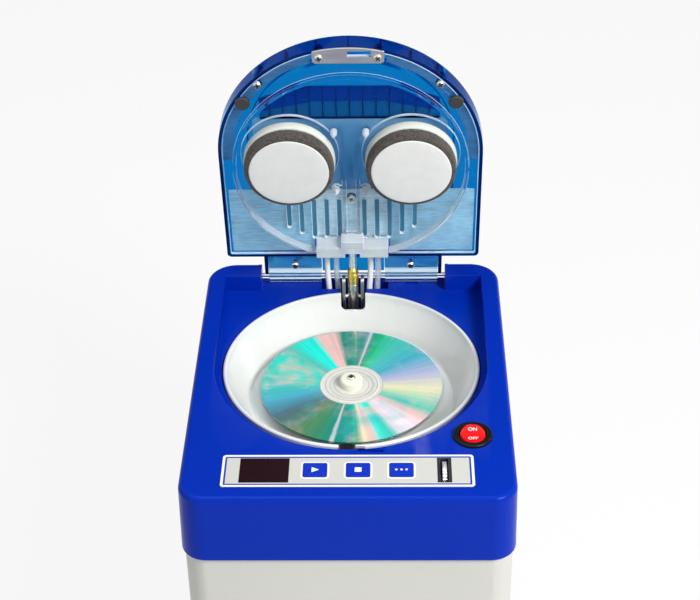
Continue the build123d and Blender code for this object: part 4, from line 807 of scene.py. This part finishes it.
def refine(node_name, finish_name, others=(), sort=None, edge=None):
    """Rounded copy of a frame node that stands for it; sort changes it or picks faces for the others."""
    bm = merged_copy(node_name, EDGES.get(node_name, 0.0) if edge is None else edge)
    if sort:
        bm.normal_update()
        sort(bm)
    return finish(bm, node_name + "_finished", finish_name, BODY_OF[node_name],
                  replaces=[node_name], even=True, others=others)


def in_lid(bm):
    """Each face with its centre and normal in lid plan."""
    home = LID.inverted()
    turn = home.to_3x3()
    return [(face, home @ face.calc_center_median(), (turn @ face.normal).normalized()) for face in bm.faces]


# ---- Places that several pieces share, in millimetres: x, y, z from the spindle, u, v, w in the lid ----
LABEL_TOP = 27.4
LABEL_CENTRE_Y = -117.325
LABEL_HALF = (73.85, 14.175)
BORDER = (0.05, 2.0, 1.5)      # inset from the label's edge, corner and width
BLUE_LINE = (1.55, 1.2, 1.1)
SURROUND = (1.3, 2.4, 1.15)    # how far past the key, corner and width
KEYS = {"start_key": -19.1, "stop_key": 6.1, "function_key": 31.4}
KEY_Y = -117.0
KEY_TOP = 27.9
KEY_HALF = (7.05, 6.2)
HEADS = {"left": -39.0, "right": 39.0}
ARC_V = 108.3                  # centre of the lid's round end, and of the heads
LID_FACE_W = 1.5
PLATE_BACK_W = -1.0
SOFT_EDGE = 0.3                # rounding of the cheeks and the apron


def build_housing(sizes):
    """Blue cover, grey casing, base, feet, lid sensor and power inlet."""
    refine("top_cover", "cover_blue", edge=sizes.edge_round)
    refine("lower_casing", "casing_grey")
    refine("base_plate", "steel")
    refine("rubber_feet", "rubber_black")
    refine("lid_sensor", "black_plastic", edge=sizes.fine_edge)
    refine("dc_inlet", "black_plastic")


def build_bowl():
    """White splash bowl."""
    refine("bowl", "bowl_white")


# Profiles of turned pieces: radius and height
CAP_PROFILE = [(1.5, -1.2), (7.45, -1.2), (7.45, 3.9), (7.3, 4.7), (6.8, 5.25), (6.0, 5.5), (3.4, 5.5),
               (3.2, 5.35), (1.5, 5.35)]
SHAFT_PROFILE = [(0, -45.5), (2.7, -45.5), (3.0, -45.0), (3.0, -2.1), (2.7, -1.8), (0, -1.8)]
DISC_BAND = [(20.6, -1.18), (58.7, -1.18), (58.7, 0.0), (20.6, 0.0)]
DISC_RIM = [(58.7, -1.2), (59.7, -1.2), (60.0, -0.9), (60.0, -0.3), (59.7, 0.0), (58.7, 0.0)]
DISC_CENTRE = [(7.5, -1.0), (7.7, -1.2), (20.6, -1.2), (20.6, 0.0), (19.3, 0.02), (19.0, -0.12),
               (18.0, -0.12), (17.5, 0.02), (17.3, 0.15), (16.7, 0.15), (16.5, 0.0), (14.2, 0.0),
               (14.0, -0.1), (11.4, -0.1), (11.2, 0.0), (7.7, 0.0), (7.5, -0.2)]
NOZZLE_PROFILE = [(0.5, 3.2), (2.2, 3.2), (2.2, 4.6), (1.9, 4.8), (1.9, 5.4), (2.2, 5.6), (2.2, 6.4),
                  (1.8, 6.6), (1.0, 9.4), (0.5, 9.4)]
HUB_PROFILE = [(0, -12.2), (1.5, -12.2), (1.5, 3.5), (27.6, 3.5), (28.9, 3.9), (29.4, 4.8), (29.5, 6.2),
               (29.4, 9.4), (29.0, 10.3), (28.4, 10.5), (0, 10.5)]
FOAM_PROFILE = [(0, 10.52), (28.0, 10.52), (28.45, 11.0),
                *[(28.45 + 0.45 * math.sin(math.pi * step / 8), 11.0 + 0.9 * step) for step in range(1, 8)],
                (28.4, 18.2), (27.9, 18.75), (27.0, 18.95), (25.0, 18.9), (0, 18.9)]
PAD_PROFILE = [(0, 18.92), (25.2, 18.92), (25.6, 19.15), (25.65, 19.5), (25.35, 19.8), (24.6, 19.9),
               (18, 19.93), (9, 19.95), (0, 19.95)]


def build_turntable():
    """Turntable hub, its cap and the shaft with its screw."""
    refine("turntable_hub", "hub_ivory")
    finish(spun(CAP_PROFILE, closed=True), "hub_cap_turned", "cap_ivory", "turntable", BENCH,
           ["hub_cap"])
    pair = [spun(SHAFT_PROFILE, steps=48), moved(screw(7.0), z=5.5)]
    finish(joined(pair), "spindle_and_screw", "screw_metal", "turntable", BENCH, ["spindle_shaft"],
           others=["screw_recess_shade"])


def build_disc():
    """Disc: recorded band, clear rim, and clear centre with its stacking ring."""
    finish(spun(DISC_BAND, True, 160), "disc_band", "disc_face", "disc", BENCH, replaces=["disc"])
    finish(spun(DISC_RIM, True, 160), "disc_rim", "clear_plastic", "disc", BENCH)
    finish(spun(DISC_CENTRE, True, 128), "disc_centre", "disc_clear", "disc", BENCH)


def build_label(sizes):
    """Control label with its printed lines, and the display window."""
    refine("control_label", "label_white")
    refine("display_window", "window_dark")
    heights = LABEL_TOP, LABEL_TOP + sizes.print_height
    half_x, half_y = LABEL_HALF
    border, line = [flat_frame(half_x - inset, half_y - inset, corner, width, *heights, 0, LABEL_CENTRE_Y)
                    for inset, corner, width in (BORDER, BLUE_LINE)]
    past, corner, width = SURROUND
    surrounds = [flat_frame(KEY_HALF[0] + past, KEY_HALF[1] + past, corner, width, *heights, x, KEY_Y)
                 for x in KEYS.values()]
    finish(joined([border, *surrounds]), "label_white_print", "print_white", "root", BENCH)
    finish(line, "label_blue_line", "print_navy", "root", BENCH)


# Outlines of each key's sign, and the rounding of their corners
KEY_SIGNS = {
    "start_key": ([[(-2.0, -2.3), (2.4, 0.0), (-2.0, 2.3)]], 0.35),
    "stop_key": ([rectangle(2.0, 2.0)], 0.35),
    "function_key": ([rectangle(0.75, 0.75, dot, 0) for dot in (-3.0, 0.0, 3.0)], 0.7),
}


def build_keys(sizes):
    """Three key caps, each with its sign."""
    for name, x in KEYS.items():
        refine(name, "key_blue")
        outlines, corner = KEY_SIGNS[name]
        sign = joined([slab(outline, KEY_TOP, KEY_TOP + sizes.print_height, corner) for outline in outlines])
        finish(moved(sign, x, KEY_Y), name + "_sign", "print_white", name, BENCH)


def build_dial():
    """Edge dial and its bezel."""
    refine("dial_bezel", "black_plastic")
    refine("dial_wheel", "dial_metal")


ROCKER_PIVOT = (74.3, -85.4, 24.5)
ROCKER_TILT = 7.0              # how far the rocker stands over at rest, degrees
ROCKER_SLOPE = 9.25            # slope of each half of its face, degrees
ROCKER_RIDGE = 28.6            # height between the two halves
WORD_AWAY = 3.7                # from the ridge to the middle of a word
WORD_SIZE = 3.5
WORD_HEIGHT = 0.12


def build_switch():
    """Power switch: housing and red rocker with its two words."""
    refine("power_switch_body", "black_plastic")
    refine("power_rocker", "rocker_red")
    rise = ROCKER_RIDGE + WORD_AWAY * math.tan(math.radians(ROCKER_SLOPE))
    tilt = (Matrix.Translation(ROCKER_PIVOT) @ Matrix.Rotation(math.radians(ROCKER_TILT), 4, "X")
            @ Matrix.Translation((0, 0, -ROCKER_PIVOT[2])))
    words = []
    for word, side in (("ON", 1), ("OFF", -1)):
        slope = Matrix.Rotation(math.radians(side * ROCKER_SLOPE), 4, "X")
        letters = lettering(word, WORD_SIZE, WORD_HEIGHT)
        bmesh.ops.transform(letters, matrix=tilt @ Matrix.Translation((0, side * WORD_AWAY, rise)) @ slope,
                            verts=letters.verts)
        words.append(letters)
    finish(joined(words), "rocker_words", "print_white", "power_rocker", BENCH)


TONGUE_V = 18.0                # where the shell's hinge tongue ends
RING_HAZE_V = 96.0             # the splash ring is hazy below this
SPINE_V = 86.0                 # the manifold's clear spine starts here
CARRIER_TOP_V = 137.5
CARRIER_DROP = 3.7


def mark_shell_edge(bm):
    """The shell's front rim shows its full depth of colour."""
    for face, centre, normal in in_lid(bm):
        if normal.z > 0.9 and centre.z > 0.8 and centre.y > TONGUE_V:
            face.material_index = 2


def mark_plate(bm):
    """The plate's side walls get a painted highlight; the lower half of the splash ring is hazy."""
    for face, centre, normal in in_lid(bm):
        if centre.z > LID_FACE_W + 0.1:
            face.material_index = 2 if centre.y < RING_HAZE_V else 0
        elif abs(normal.z) < 0.3:
            face.material_index = 1


def mark_manifold(bm):
    """The spine above the rails is clear; the box below is hazy."""
    for face, centre, _ in in_lid(bm):
        if centre.y > SPINE_V:
            face.material_index = 2


def lower_carrier_top(bm):
    """Moves the carrier's top edge down to where it shows."""
    home = LID.inverted()
    for vert in bm.verts:
        at = home @ vert.co
        if at.y > CARRIER_TOP_V:
            vert.co = LID @ Vector((at.x, at.y - CARRIER_DROP, at.z))


def sector(inner, outer, start, end, z0, z1):
    """Flat ring sector round the centre of the lid's round end, between two angles in degrees."""
    bm = bmesh.new()
    near, far = bm.verts.new((inner, 0, z0)), bm.verts.new((outer, 0, z0))
    edge = bm.edges.new((near, far))
    bmesh.ops.rotate(bm, matrix=Matrix.Rotation(math.radians(start), 3, "Z"), verts=bm.verts)
    bmesh.ops.spin(bm, geom=[near, far, edge], cent=(0, 0, 0), axis=(0, 0, 1), dvec=(0, 0, 0),
                   angle=math.radians(end - start), steps=40)
    return moved(raised(bm, z1 - z0), y=ARC_V)


RIB_ANGLES = range(48, 133, 14)
RIB_RADII = (79.5, 82.8)
RIB_W = (-11.5, -2.2)
POCKET = [(-57, 136.2), (57, 136.2), (57, 151.0), (33, 160.5), (-33, 160.5), (-57, 151.0)]
POCKET_LIGHT = [(-56.5, 136.4), (56.5, 136.4), (56.5, 141.0), (22, 149.0), (-22, 149.0), (-56.5, 141.0)]
GRID_PITCH = 8.4
GRID_FOOT_V = 136.4
GRID_HEAD_V = (160.0, 151.5)   # under the pocket's flat top, and under its slanting ends
GRID_W = (-2.2, -1.2)
GRID_RAIL = (-57.0, 57.0, 135.9, 136.6, -2.6, -1.1)
CHEEK_ENDS = ((-60.5, -58.1), (58.1, 60.5))
CHEEK_SIDES = (2.6, 18.4, -6.0, 1.4)
APRON = (-21.3, 21.3, -1.5, 19.5, -6.8, -5.6)


def build_shell(sizes):
    """Lid shell with the ribs in its rim, the gridded pocket, the hinge tongue's cheeks and the apron."""
    refine("lid_shell", "lid_blue", ["lid_blue", "lid_edge"], mark_shell_edge, sizes.fine_edge)
    thin = sizes.rib_thickness / 2
    ribs = []
    for degrees in RIB_ANGLES:
        rib = block(*RIB_RADII, -thin, thin, *RIB_W)
        spin = Matrix.Translation((0, ARC_V, 0)) @ Matrix.Rotation(math.radians(degrees), 4, "Z")
        bmesh.ops.transform(rib, matrix=spin, verts=rib.verts)
        ribs.append(rib)
    finish(joined(ribs), "lid_rim_ribs", "lid_deep", "lid", LID)
    finish(slab(POCKET, -3.4, -2.6), "lid_pocket", "lid_deep", "lid", LID)
    finish(slab(POCKET_LIGHT, -2.5, -2.3), "lid_pocket_light", "lid_teal", "lid", LID)
    grid = []
    for index in range(-6, 7):
        middle, head = GRID_PITCH * index, GRID_HEAD_V[abs(index) > 4]
        grid.append(block(middle - thin / 2, middle + thin / 2, GRID_FOOT_V, head, *GRID_W))
    grid.append(block(*GRID_RAIL))
    finish(joined(grid), "lid_pocket_grid", "lid_edge", "lid", LID)
    cheeks = [block(*ends, *CHEEK_SIDES, SOFT_EDGE) for ends in CHEEK_ENDS]
    finish(joined(cheeks), "lid_tongue_cheeks", "lid_edge", "lid", LID)
    finish(block(*APRON, SOFT_EDGE), "lid_apron", "lid_blue", "lid", LID)


SHEET_U = (25.5, 81.0)         # inner and outer edge of a side sheet
SHEET_V = (22.5, 77.0)
MIDDLE_SHEET = [(-25.4, 36.0), (25.4, 36.0), (25.4, 77.0), (-25.4, 77.0)]
SHEET_CORNER = 0.6
SHEET_BACK_W = PLATE_BACK_W - 0.55
SHEET_FRONT_W = PLATE_BACK_W - 0.05
FLANGE_RADII = (75.5, 82.2)
FLANGE_STARTS = (-4.0, 108.0)  # degrees
FLANGE_TURN = 76.0
SLOT_PITCH = 8.35
SLOT_HALF = 1.45
SLOT_CORNER = 1.3
SLOT_TOP = 70.0
SLOT_FLOOR = 35.5              # lowest end of a drain slot
SLOT_CURVE = 67.2              # the outer slots end on this radius round the spindle


def drain_slot(index):
    """Backing of one drain slot, counted from the middle."""
    u = SLOT_PITCH * index
    low = max(SLOT_FLOOR, spindle_v() - math.sqrt(SLOT_CURVE ** 2 - u * u))
    outline = rectangle(SLOT_HALF, (SLOT_TOP - low) / 2 - 0.05, u, (low + SLOT_TOP) / 2)
    return slab(outline, SHEET_FRONT_W + 0.01, SHEET_FRONT_W + 0.04, SLOT_CORNER)


def build_plate(sizes):
    """Clear inner plate, the frosted sheets behind it and the motor carrier."""
    refine("lid_inner_plate", "clear_plastic", ["clear_edge_highlight", "clear_ring"], mark_plate,
           sizes.fine_edge)
    near, far = SHEET_U
    low, high = SHEET_V
    sides = []
    for side in (-1, 1):
        outline = [(side * far, low), (side * near, low), (side * near, high), (side * far, high)]
        sides.append(slab(outline[::side], SHEET_BACK_W, SHEET_FRONT_W, SHEET_CORNER))
    finish(joined(sides), "lid_frosted_sheet", "frosted_sheet", "lid", LID)
    middle = slab(MIDDLE_SHEET, SHEET_BACK_W, SHEET_FRONT_W, SHEET_CORNER)
    finish(middle, "lid_frosted_middle", "frosted_middle", "lid", LID)
    flanges = [sector(*FLANGE_RADII, start, start + FLANGE_TURN, SHEET_BACK_W, SHEET_FRONT_W)
               for start in FLANGE_STARTS]
    finish(joined(flanges), "lid_flange_haze", "flange_haze", "lid", LID)
    slots = [drain_slot(index) for index in range(-5, 6) if index]
    finish(joined(slots), "drain_slot_backs", "slot_blue", "lid", LID)
    refine("motor_carrier", "carrier_haze", sort=lower_carrier_top)


def build_hinge():
    """Clear hinge leaves with their barrels, and the pin."""
    refine("hinge_knuckles", "knuckle_clear", ["knuckle_clear"])
    refine("hinge_pin", "chrome_rod")


NOZZLES = [(10.2, 129.2), (-10.2, 129.2), (9.6, 81.3), (-9.6, 81.3)]


def build_manifold():
    """Clear spray manifold with its four nozzles."""
    refine("spray_manifold", "clear_haze", ["clear_edge_highlight", "clear_plastic"], mark_manifold)
    tips = [moved(spun(NOZZLE_PROFILE, True, 32), *place) for place in NOZZLES]
    finish(joined(tips), "nozzle_tips", "clear_haze", "lid", LID, ["spray_nozzles"])


# Lid screws: place in the lid, and length of the shank
LID_SCREWS = [(-57.0, 164.5, LID_FACE_W, 8), (57.0, 164.5, LID_FACE_W, 8), (0.0, 70.9, LID_FACE_W, 8),
              (-18.15, 185.75, 2.7, 9), (18.15, 185.75, 2.7, 9), (-39.4, 10.5, 1.5, 5), (39.4, 10.5, 1.5, 5)]
SCREW_TURN = 0.6               # each cross is turned by this much more than the last, radians


def build_lid_fittings():
    """Steel latch plate, rubber bumpers and the lid's cross-head screws."""
    refine("latch_plate", "steel")
    refine("lid_bumpers", "rubber_black")
    screws = []
    for index, (u, v, w, shank) in enumerate(LID_SCREWS):
        one = screw(shank)
        bmesh.ops.rotate(one, matrix=Matrix.Rotation(index * SCREW_TURN, 3, "Z"), verts=one.verts)
        screws.append(moved(one, u, v, w))
    finish(joined(screws), "lid_cross_screws", "screw_metal", "lid", LID, ["lid_screws"],
           others=["screw_recess_shade"])


def roughened(bm, depth, pattern):
    """Uneven surface: each vertex is moved along its normal by smooth noise."""
    bm.normal_update()
    for vert in bm.verts:
        vert.co += vert.normal * depth * noise.noise(vert.co * pattern)
    return bm


FOAM_PATTERN = 0.9             # how often the uneven surface swings, per millimetre
NAP_PATTERN = 1.7
NAP_DEPTH = 0.05
PADDED_CREASE = 60.0           # degrees


def build_heads(sizes):
    """Two polishing heads: ivory hub, foam ring and white cloth pad."""
    for side, u in HEADS.items():
        body = side + "_head"
        finish(moved(spun(HUB_PROFILE), u, ARC_V), side + "_hub_moulded", "hub_ivory", body, LID,
               replaces=[body + "_hub"])
        ring = roughened(spun(FOAM_PROFILE, steps=220), sizes.foam_grain, FOAM_PATTERN)
        foam_ring = finish(moved(ring, u, ARC_V), side + "_foam_ring", "foam_grey", body, LID,
                           replaces=[body + "_foam"], crease=PADDED_CREASE)
        nap = roughened(spun(PAD_PROFILE, steps=160), NAP_DEPTH, NAP_PATTERN)
        pad = finish(moved(nap, u, ARC_V), side + "_cloth_pad", "pad_white", body, LID,
                     replaces=[side + "_polishing_pad"], crease=PADDED_CREASE)


TUBE_Y = 91.0                  # where the tubes leave the housing
TUBE_BOTTOM = [(TUBE_Y, -12.0), (TUBE_Y, -2.0), (90.7, 10.0)]       # y and z of a tube's lower points
TUBE_TOP = [(7.0, 3.2), (14.0, 2.0), (19.8, 1.0)]                   # v and w of its upper points


def tube_between_bodies(name, finish_name, low_x, u, radius, bore, replaces=()):
    """Tube from the housing to the manifold, shaped for the lid at its open angle."""
    curve = bpy.data.curves.new(name, "CURVE")
    curve.dimensions = "3D"
    curve.bevel_depth = radius * MM
    curve.bevel_resolution = 5
    curve.resolution_u = 10
    run = [BENCH @ Vector((low_x, *place)) for place in TUBE_BOTTOM]
    run += [LID @ Vector((u, *place)) for place in TUBE_TOP]
    line = curve.splines.new("NURBS")
    line.points.add(len(run) - 1)
    for point, place in zip(line.points, run):
        point.co = (*place, 1)
    line.order_u = 3
    line.use_endpoint_u = True
    bm = bmesh_of_curve(name, curve, 1e-6)
    bmesh.ops.recalc_face_normals(bm, faces=bm.faces)
    if bore:
        bmesh.ops.solidify(bm, geom=bm.faces[:], thickness=(radius - bore) * MM)
    else:
        bmesh.ops.holes_fill(bm, edges=[edge for edge in bm.edges if edge.is_boundary])
    piece = finish(bm, name, finish_name, None, replaces=replaces)
    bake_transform(piece)


# Where each tube leaves the housing (x) and where it enters the manifold (u)
SLEEVES = ((-16.3, -17.5), (10.9, 12.1))
HOSES = ((-9.9, -11.3), (16.3, 17.1))
SLEEVE_SIZE = (1.9, 0.0)       # outer radius and bore
HOSE_SIZE = (2.0, 1.3)


def build_tubes():
    """Wire sleeves and water hoses over the hinge, and the wires behind the inner plate."""
    for index, (x, u) in enumerate(SLEEVES):
        tube_between_bodies(f"wire_sleeve_{index + 1}", "sleeve_white", x, u, *SLEEVE_SIZE,
                            [] if index else ["wire_sleeves"])
    for index, (x, u) in enumerate(HOSES):
        tube_between_bodies(f"water_hose_{index + 1}", "hose_clear", x, u, *HOSE_SIZE,
                            [] if index else ["water_hoses"])
    refine("lid_wires", "sleeve_white")


def build_strut():
    """Gas strut: chromed tube, turned brass gland and polished rod in its bracket."""
    refine("strut_bracket", "steel")
    refine("strut_cylinder", "chrome_rod")
    refine("strut_gland", "brass_gland")
    refine("strut_rod", "chrome_rod")


HIDDEN_FINISHES = {
    "steel": ("casing_screws", "latch_bracket", "latch_hook", "motor_mount"),
    "motor_metal": ("latch_solenoid", "latch_plunger", "turntable_motor", "head_motors"),
    "black_plastic": ("dial_pot", "pump"),
    "board_green": ("control_board", "power_board"),
    "hose_grey": ("supply_hose", "drain_hose"),
    "rubber_black": ("shaft_seal",),
    "print_white": ("hose_tee",),
    "tank_plastic": ("water_tank",),
}


def finish_inside():
    """Gives every frame node that still shows its own finish."""
    for finish_name, nodes in HIDDEN_FINISHES.items():
        for name in nodes:
            for slot in frame["nodes"][name].material_slots:
                slot.material = FINISH[finish_name]


# ---- Stage, in metres ----
CAMERA_PLACE = (0.024767, -0.866659, 0.918450)
CAMERA_LENS = 88.41
CAMERA_PITCH = 34.918
CAMERA_YAW = -1.602
CAMERA_ROLL = 1.146
# Name, place, power in watts and size of each lamp
LAMPS = [("key_lamp", (0.80, -0.75, 1.25), 22.0, 0.5), ("fill_lamp", (-1.4, -1.2, 0.9), 2.0, 1.2),
         ("top_lamp", (-0.25, 0.15, 1.9), 7.5, 0.9)]
FLOOR_SIZE = 24.0
FLOOR_GLOW = 0.86              # share of plain white in the floor's look
WORLD_LEVEL = 0.29             # light of the surroundings on things; seen directly they are white
CARD_SIZE = 3.2
CARD_PLACE = (0.0, 2.6, 2.1)
CARD_LEAN = 65.0


def add_camera():
    """Camera in front of the machine, looking down into the bowl."""
    pitch, yaw, roll = (math.radians(value) for value in (CAMERA_PITCH, CAMERA_YAW, CAMERA_ROLL))
    ahead = Vector((math.sin(yaw) * math.cos(pitch), math.cos(yaw) * math.cos(pitch), -math.sin(pitch)))
    level = Vector((math.cos(yaw), -math.sin(yaw), 0))
    down = ahead.cross(level)
    right = math.cos(roll) * level + math.sin(roll) * down
    up = math.sin(roll) * level - math.cos(roll) * down
    data = bpy.data.cameras.new("camera")
    data.lens = CAMERA_LENS
    data.sensor_width = 36.0
    data.clip_start = 0.01
    camera = linked("camera", data)
    camera.matrix_world = Matrix.Translation(CAMERA_PLACE) @ Matrix((right, up, -ahead)).transposed().to_4x4()
    bpy.context.scene.camera = camera


def add_lamp(name, place, power, size):
    """Square soft lamp aimed at the spindle."""
    data = bpy.data.lights.new(name, "AREA")
    data.energy = power
    data.size = size
    lamp = linked(name, data)
    lamp.location = place
    lamp.rotation_euler = (spindle_point() - Vector(place)).to_track_quat("-Z", "Y").to_euler()


def seen_directly(tree):
    """1 for rays from the camera, a mirror or through glass, and 0 for the light that falls on things."""
    path = tree.nodes.new("ShaderNodeLightPath")
    seen = maths(tree, "MAXIMUM", path.outputs["Is Camera Ray"], path.outputs["Is Glossy Ray"])
    return maths(tree, "MAXIMUM", seen, path.outputs["Is Transmission Ray"])


def stage_square(name, size, place, paint):
    """Flat square of the stage in its paint."""
    bm = bmesh.new()
    bmesh.ops.create_grid(bm, x_segments=1, y_segments=1, size=size / 2)
    bmesh.ops.transform(bm, matrix=place, verts=bm.verts)
    mesh = mesh_from(bm, name)
    mesh.materials.append(paint.material)
    return linked(name, mesh)


def add_dark_card():
    """Dark card behind the machine that only glossy surfaces reflect."""
    paint = Finish("card_black", Base_Color=(0.02, 0.02, 0.022, 1), Roughness=1.0, Specular_IOR_Level=0.0)
    lean = Matrix.Rotation(math.radians(CARD_LEAN), 4, "X")
    card = stage_square("dark_card", CARD_SIZE, Matrix.Translation(CARD_PLACE) @ lean, paint)
    card.visible_camera = False
    card.visible_diffuse = False
    card.visible_transmission = False
    card.visible_shadow = False


def add_floor():
    """Pale floor: it keeps shadows, and looks white where nothing shades it."""
    paint = Finish("floor_white", Base_Color=(0.9, 0.9, 0.9, 1), Roughness=0.9, Specular_IOR_Level=0.0)
    tree = paint.tree
    glow = node(tree, "ShaderNodeEmission", Color=(1, 1, 1, 1), Strength=1.0)
    share = maths(tree, "MULTIPLY", seen_directly(tree), FLOOR_GLOW)
    blend = node(tree, "ShaderNodeMixShader",
                 [(share, 0), (paint.shader.outputs[0], 1), (glow.outputs[0], 2)])
    feed(tree, tree.nodes["Material Output"].inputs, Surface=blend.outputs[0])
    floor = stage_square("floor", FLOOR_SIZE, Matrix(), paint)


def build_stage(sizes):
    """Pale floor, soft lamps, white surroundings and the camera."""
    world = bpy.data.worlds.new("surroundings")
    world.use_nodes = True
    bpy.context.scene.world = world
    tree = world.node_tree
    background = tree.nodes["Background"]
    background.inputs["Color"].default_value = (1, 1, 1, 1)
    feed(tree, background.inputs, Strength=scaled(tree, seen_directly(tree), 1.0 - WORLD_LEVEL, WORLD_LEVEL))
    if sizes.show_floor:
        add_floor()
    for lamp in LAMPS:
        add_lamp(*lamp)
    add_dark_card()
    add_camera()
    bpy.context.scene.view_settings.view_transform = "Standard"


# ---- Operators, one for each piece or group of like pieces ----
def working_sizes(context):
    """The size settings, with lengths in millimetres."""
    settings = context.scene.machine_sizes
    names = [name for name in MachineSizes.__annotations__ if name != "show_floor"]
    return SimpleNamespace(show_floor=settings.show_floor,
                           **{name: getattr(settings, name) / MM for name in names})


class MACHINE_OT_finishes(bpy.types.Operator):
    """Make the machine's materials"""
    bl_idname = "machine.finishes"
    bl_label = "Finishes"

    def execute(self, context):
        make_finishes(context.scene.machine_colours)
        return {"FINISHED"}


class MACHINE_OT_housing(bpy.types.Operator):
    """Round off and finish the cover, casing, base and feet"""
    bl_idname = "machine.housing"
    bl_label = "Housing"

    def execute(self, context):
        build_housing(working_sizes(context))
        return {"FINISHED"}


class MACHINE_OT_bowl(bpy.types.Operator):
    """Finish the splash bowl"""
    bl_idname = "machine.bowl"
    bl_label = "Bowl"

    def execute(self, context):
        build_bowl()
        return {"FINISHED"}


class MACHINE_OT_turntable(bpy.types.Operator):
    """Make the hub, its cap and the shaft with its screw"""
    bl_idname = "machine.turntable"
    bl_label = "Turntable"

    def execute(self, context):
        build_turntable()
        return {"FINISHED"}


class MACHINE_OT_disc(bpy.types.Operator):
    """Make the disc with its recorded band, rim and clear centre"""
    bl_idname = "machine.disc"
    bl_label = "Disc"

    def execute(self, context):
        build_disc()
        return {"FINISHED"}


class MACHINE_OT_label(bpy.types.Operator):
    """Make the label's print and finish the display window"""
    bl_idname = "machine.label"
    bl_label = "Control label"

    def execute(self, context):
        build_label(working_sizes(context))
        return {"FINISHED"}


class MACHINE_OT_keys(bpy.types.Operator):
    """Finish the three keys and make their signs"""
    bl_idname = "machine.keys"
    bl_label = "Keys"

    def execute(self, context):
        build_keys(working_sizes(context))
        return {"FINISHED"}


class MACHINE_OT_dial(bpy.types.Operator):
    """Finish the dial and its bezel"""
    bl_idname = "machine.dial"
    bl_label = "Dial"

    def execute(self, context):
        build_dial()
        return {"FINISHED"}


class MACHINE_OT_switch(bpy.types.Operator):
    """Finish the power switch and make its two words"""
    bl_idname = "machine.switch"
    bl_label = "Power switch"

    def execute(self, context):
        build_switch()
        return {"FINISHED"}


class MACHINE_OT_shell(bpy.types.Operator):
    """Finish the lid shell and make its ribs, pocket, tongue cheeks and apron"""
    bl_idname = "machine.shell"
    bl_label = "Lid shell"

    def execute(self, context):
        build_shell(working_sizes(context))
        return {"FINISHED"}


class MACHINE_OT_plate(bpy.types.Operator):
    """Finish the inner plate and make the frosted sheets behind it"""
    bl_idname = "machine.plate"
    bl_label = "Inner plate"

    def execute(self, context):
        build_plate(working_sizes(context))
        return {"FINISHED"}


class MACHINE_OT_hinge(bpy.types.Operator):
    """Finish the hinge leaves and the pin"""
    bl_idname = "machine.hinge"
    bl_label = "Hinge"

    def execute(self, context):
        build_hinge()
        return {"FINISHED"}


class MACHINE_OT_manifold(bpy.types.Operator):
    """Finish the manifold and make its nozzles"""
    bl_idname = "machine.manifold"
    bl_label = "Spray manifold"

    def execute(self, context):
        build_manifold()
        return {"FINISHED"}


class MACHINE_OT_lid_fittings(bpy.types.Operator):
    """Finish the latch plate and bumpers and make the lid's screws"""
    bl_idname = "machine.lid_fittings"
    bl_label = "Lid fittings"

    def execute(self, context):
        build_lid_fittings()
        return {"FINISHED"}


class MACHINE_OT_heads(bpy.types.Operator):
    """Make the two hubs, foam rings and cloth pads"""
    bl_idname = "machine.heads"
    bl_label = "Polishing heads"

    def execute(self, context):
        build_heads(working_sizes(context))
        return {"FINISHED"}


class MACHINE_OT_tubes(bpy.types.Operator):
    """Make the wire sleeves and water hoses over the hinge"""
    bl_idname = "machine.tubes"
    bl_label = "Tubes over the hinge"

    def execute(self, context):
        build_tubes()
        return {"FINISHED"}


class MACHINE_OT_strut(bpy.types.Operator):
    """Finish the strut's tube, gland, rod and bracket"""
    bl_idname = "machine.strut"
    bl_label = "Gas strut"

    def execute(self, context):
        build_strut()
        return {"FINISHED"}


class MACHINE_OT_inside(bpy.types.Operator):
    """Give the parts inside the housing their finishes"""
    bl_idname = "machine.inside"
    bl_label = "Inner parts"

    def execute(self, context):
        finish_inside()
        return {"FINISHED"}


class MACHINE_OT_stage(bpy.types.Operator):
    """Add the floor, lamps, surroundings and camera"""
    bl_idname = "machine.stage"
    bl_label = "Stage"

    def execute(self, context):
        build_stage(working_sizes(context))
        return {"FINISHED"}


class MACHINE_PT_build(bpy.types.Panel):
    """Sidebar panel that lists the steps"""
    bl_label = "Disc repair machine"
    bl_space_type = "VIEW_3D"
    bl_region_type = "UI"
    bl_category = "Machine"

    def draw(self, context):
        for settings in (context.scene.machine_colours, context.scene.machine_sizes):
            for name in settings.bl_rna.properties.keys():
                if name not in ("rna_type", "name"):
                    self.layout.prop(settings, name)
        for operator in OPERATORS:
            self.layout.operator(operator.bl_idname)


OPERATORS = [MACHINE_OT_finishes, MACHINE_OT_housing, MACHINE_OT_bowl, MACHINE_OT_turntable,
             MACHINE_OT_disc, MACHINE_OT_label, MACHINE_OT_keys, MACHINE_OT_dial, MACHINE_OT_switch,
             MACHINE_OT_shell, MACHINE_OT_plate, MACHINE_OT_hinge, MACHINE_OT_manifold,
             MACHINE_OT_lid_fittings, MACHINE_OT_heads, MACHINE_OT_tubes, MACHINE_OT_strut,
             MACHINE_OT_inside, MACHINE_OT_stage]
CLASSES = [MachineColours, MachineSizes, *OPERATORS, MACHINE_PT_build]


def register():
    """Registers the classes and their settings."""
    for item in CLASSES:
        bpy.utils.register_class(item)
    bpy.types.Scene.machine_colours = PointerProperty(type=MachineColours)
    bpy.types.Scene.machine_sizes = PointerProperty(type=MachineSizes)


def unregister():
    """Removes them again."""
    del bpy.types.Scene.machine_sizes
    del bpy.types.Scene.machine_colours
    for item in reversed(CLASSES):
        bpy.utils.unregister_class(item)


def main():
    """Runs every step in order."""
    register()
    for operator in OPERATORS:
        getattr(bpy.ops.machine, operator.bl_idname.split(".")[1])()


if __name__ == "__main__":
    main()
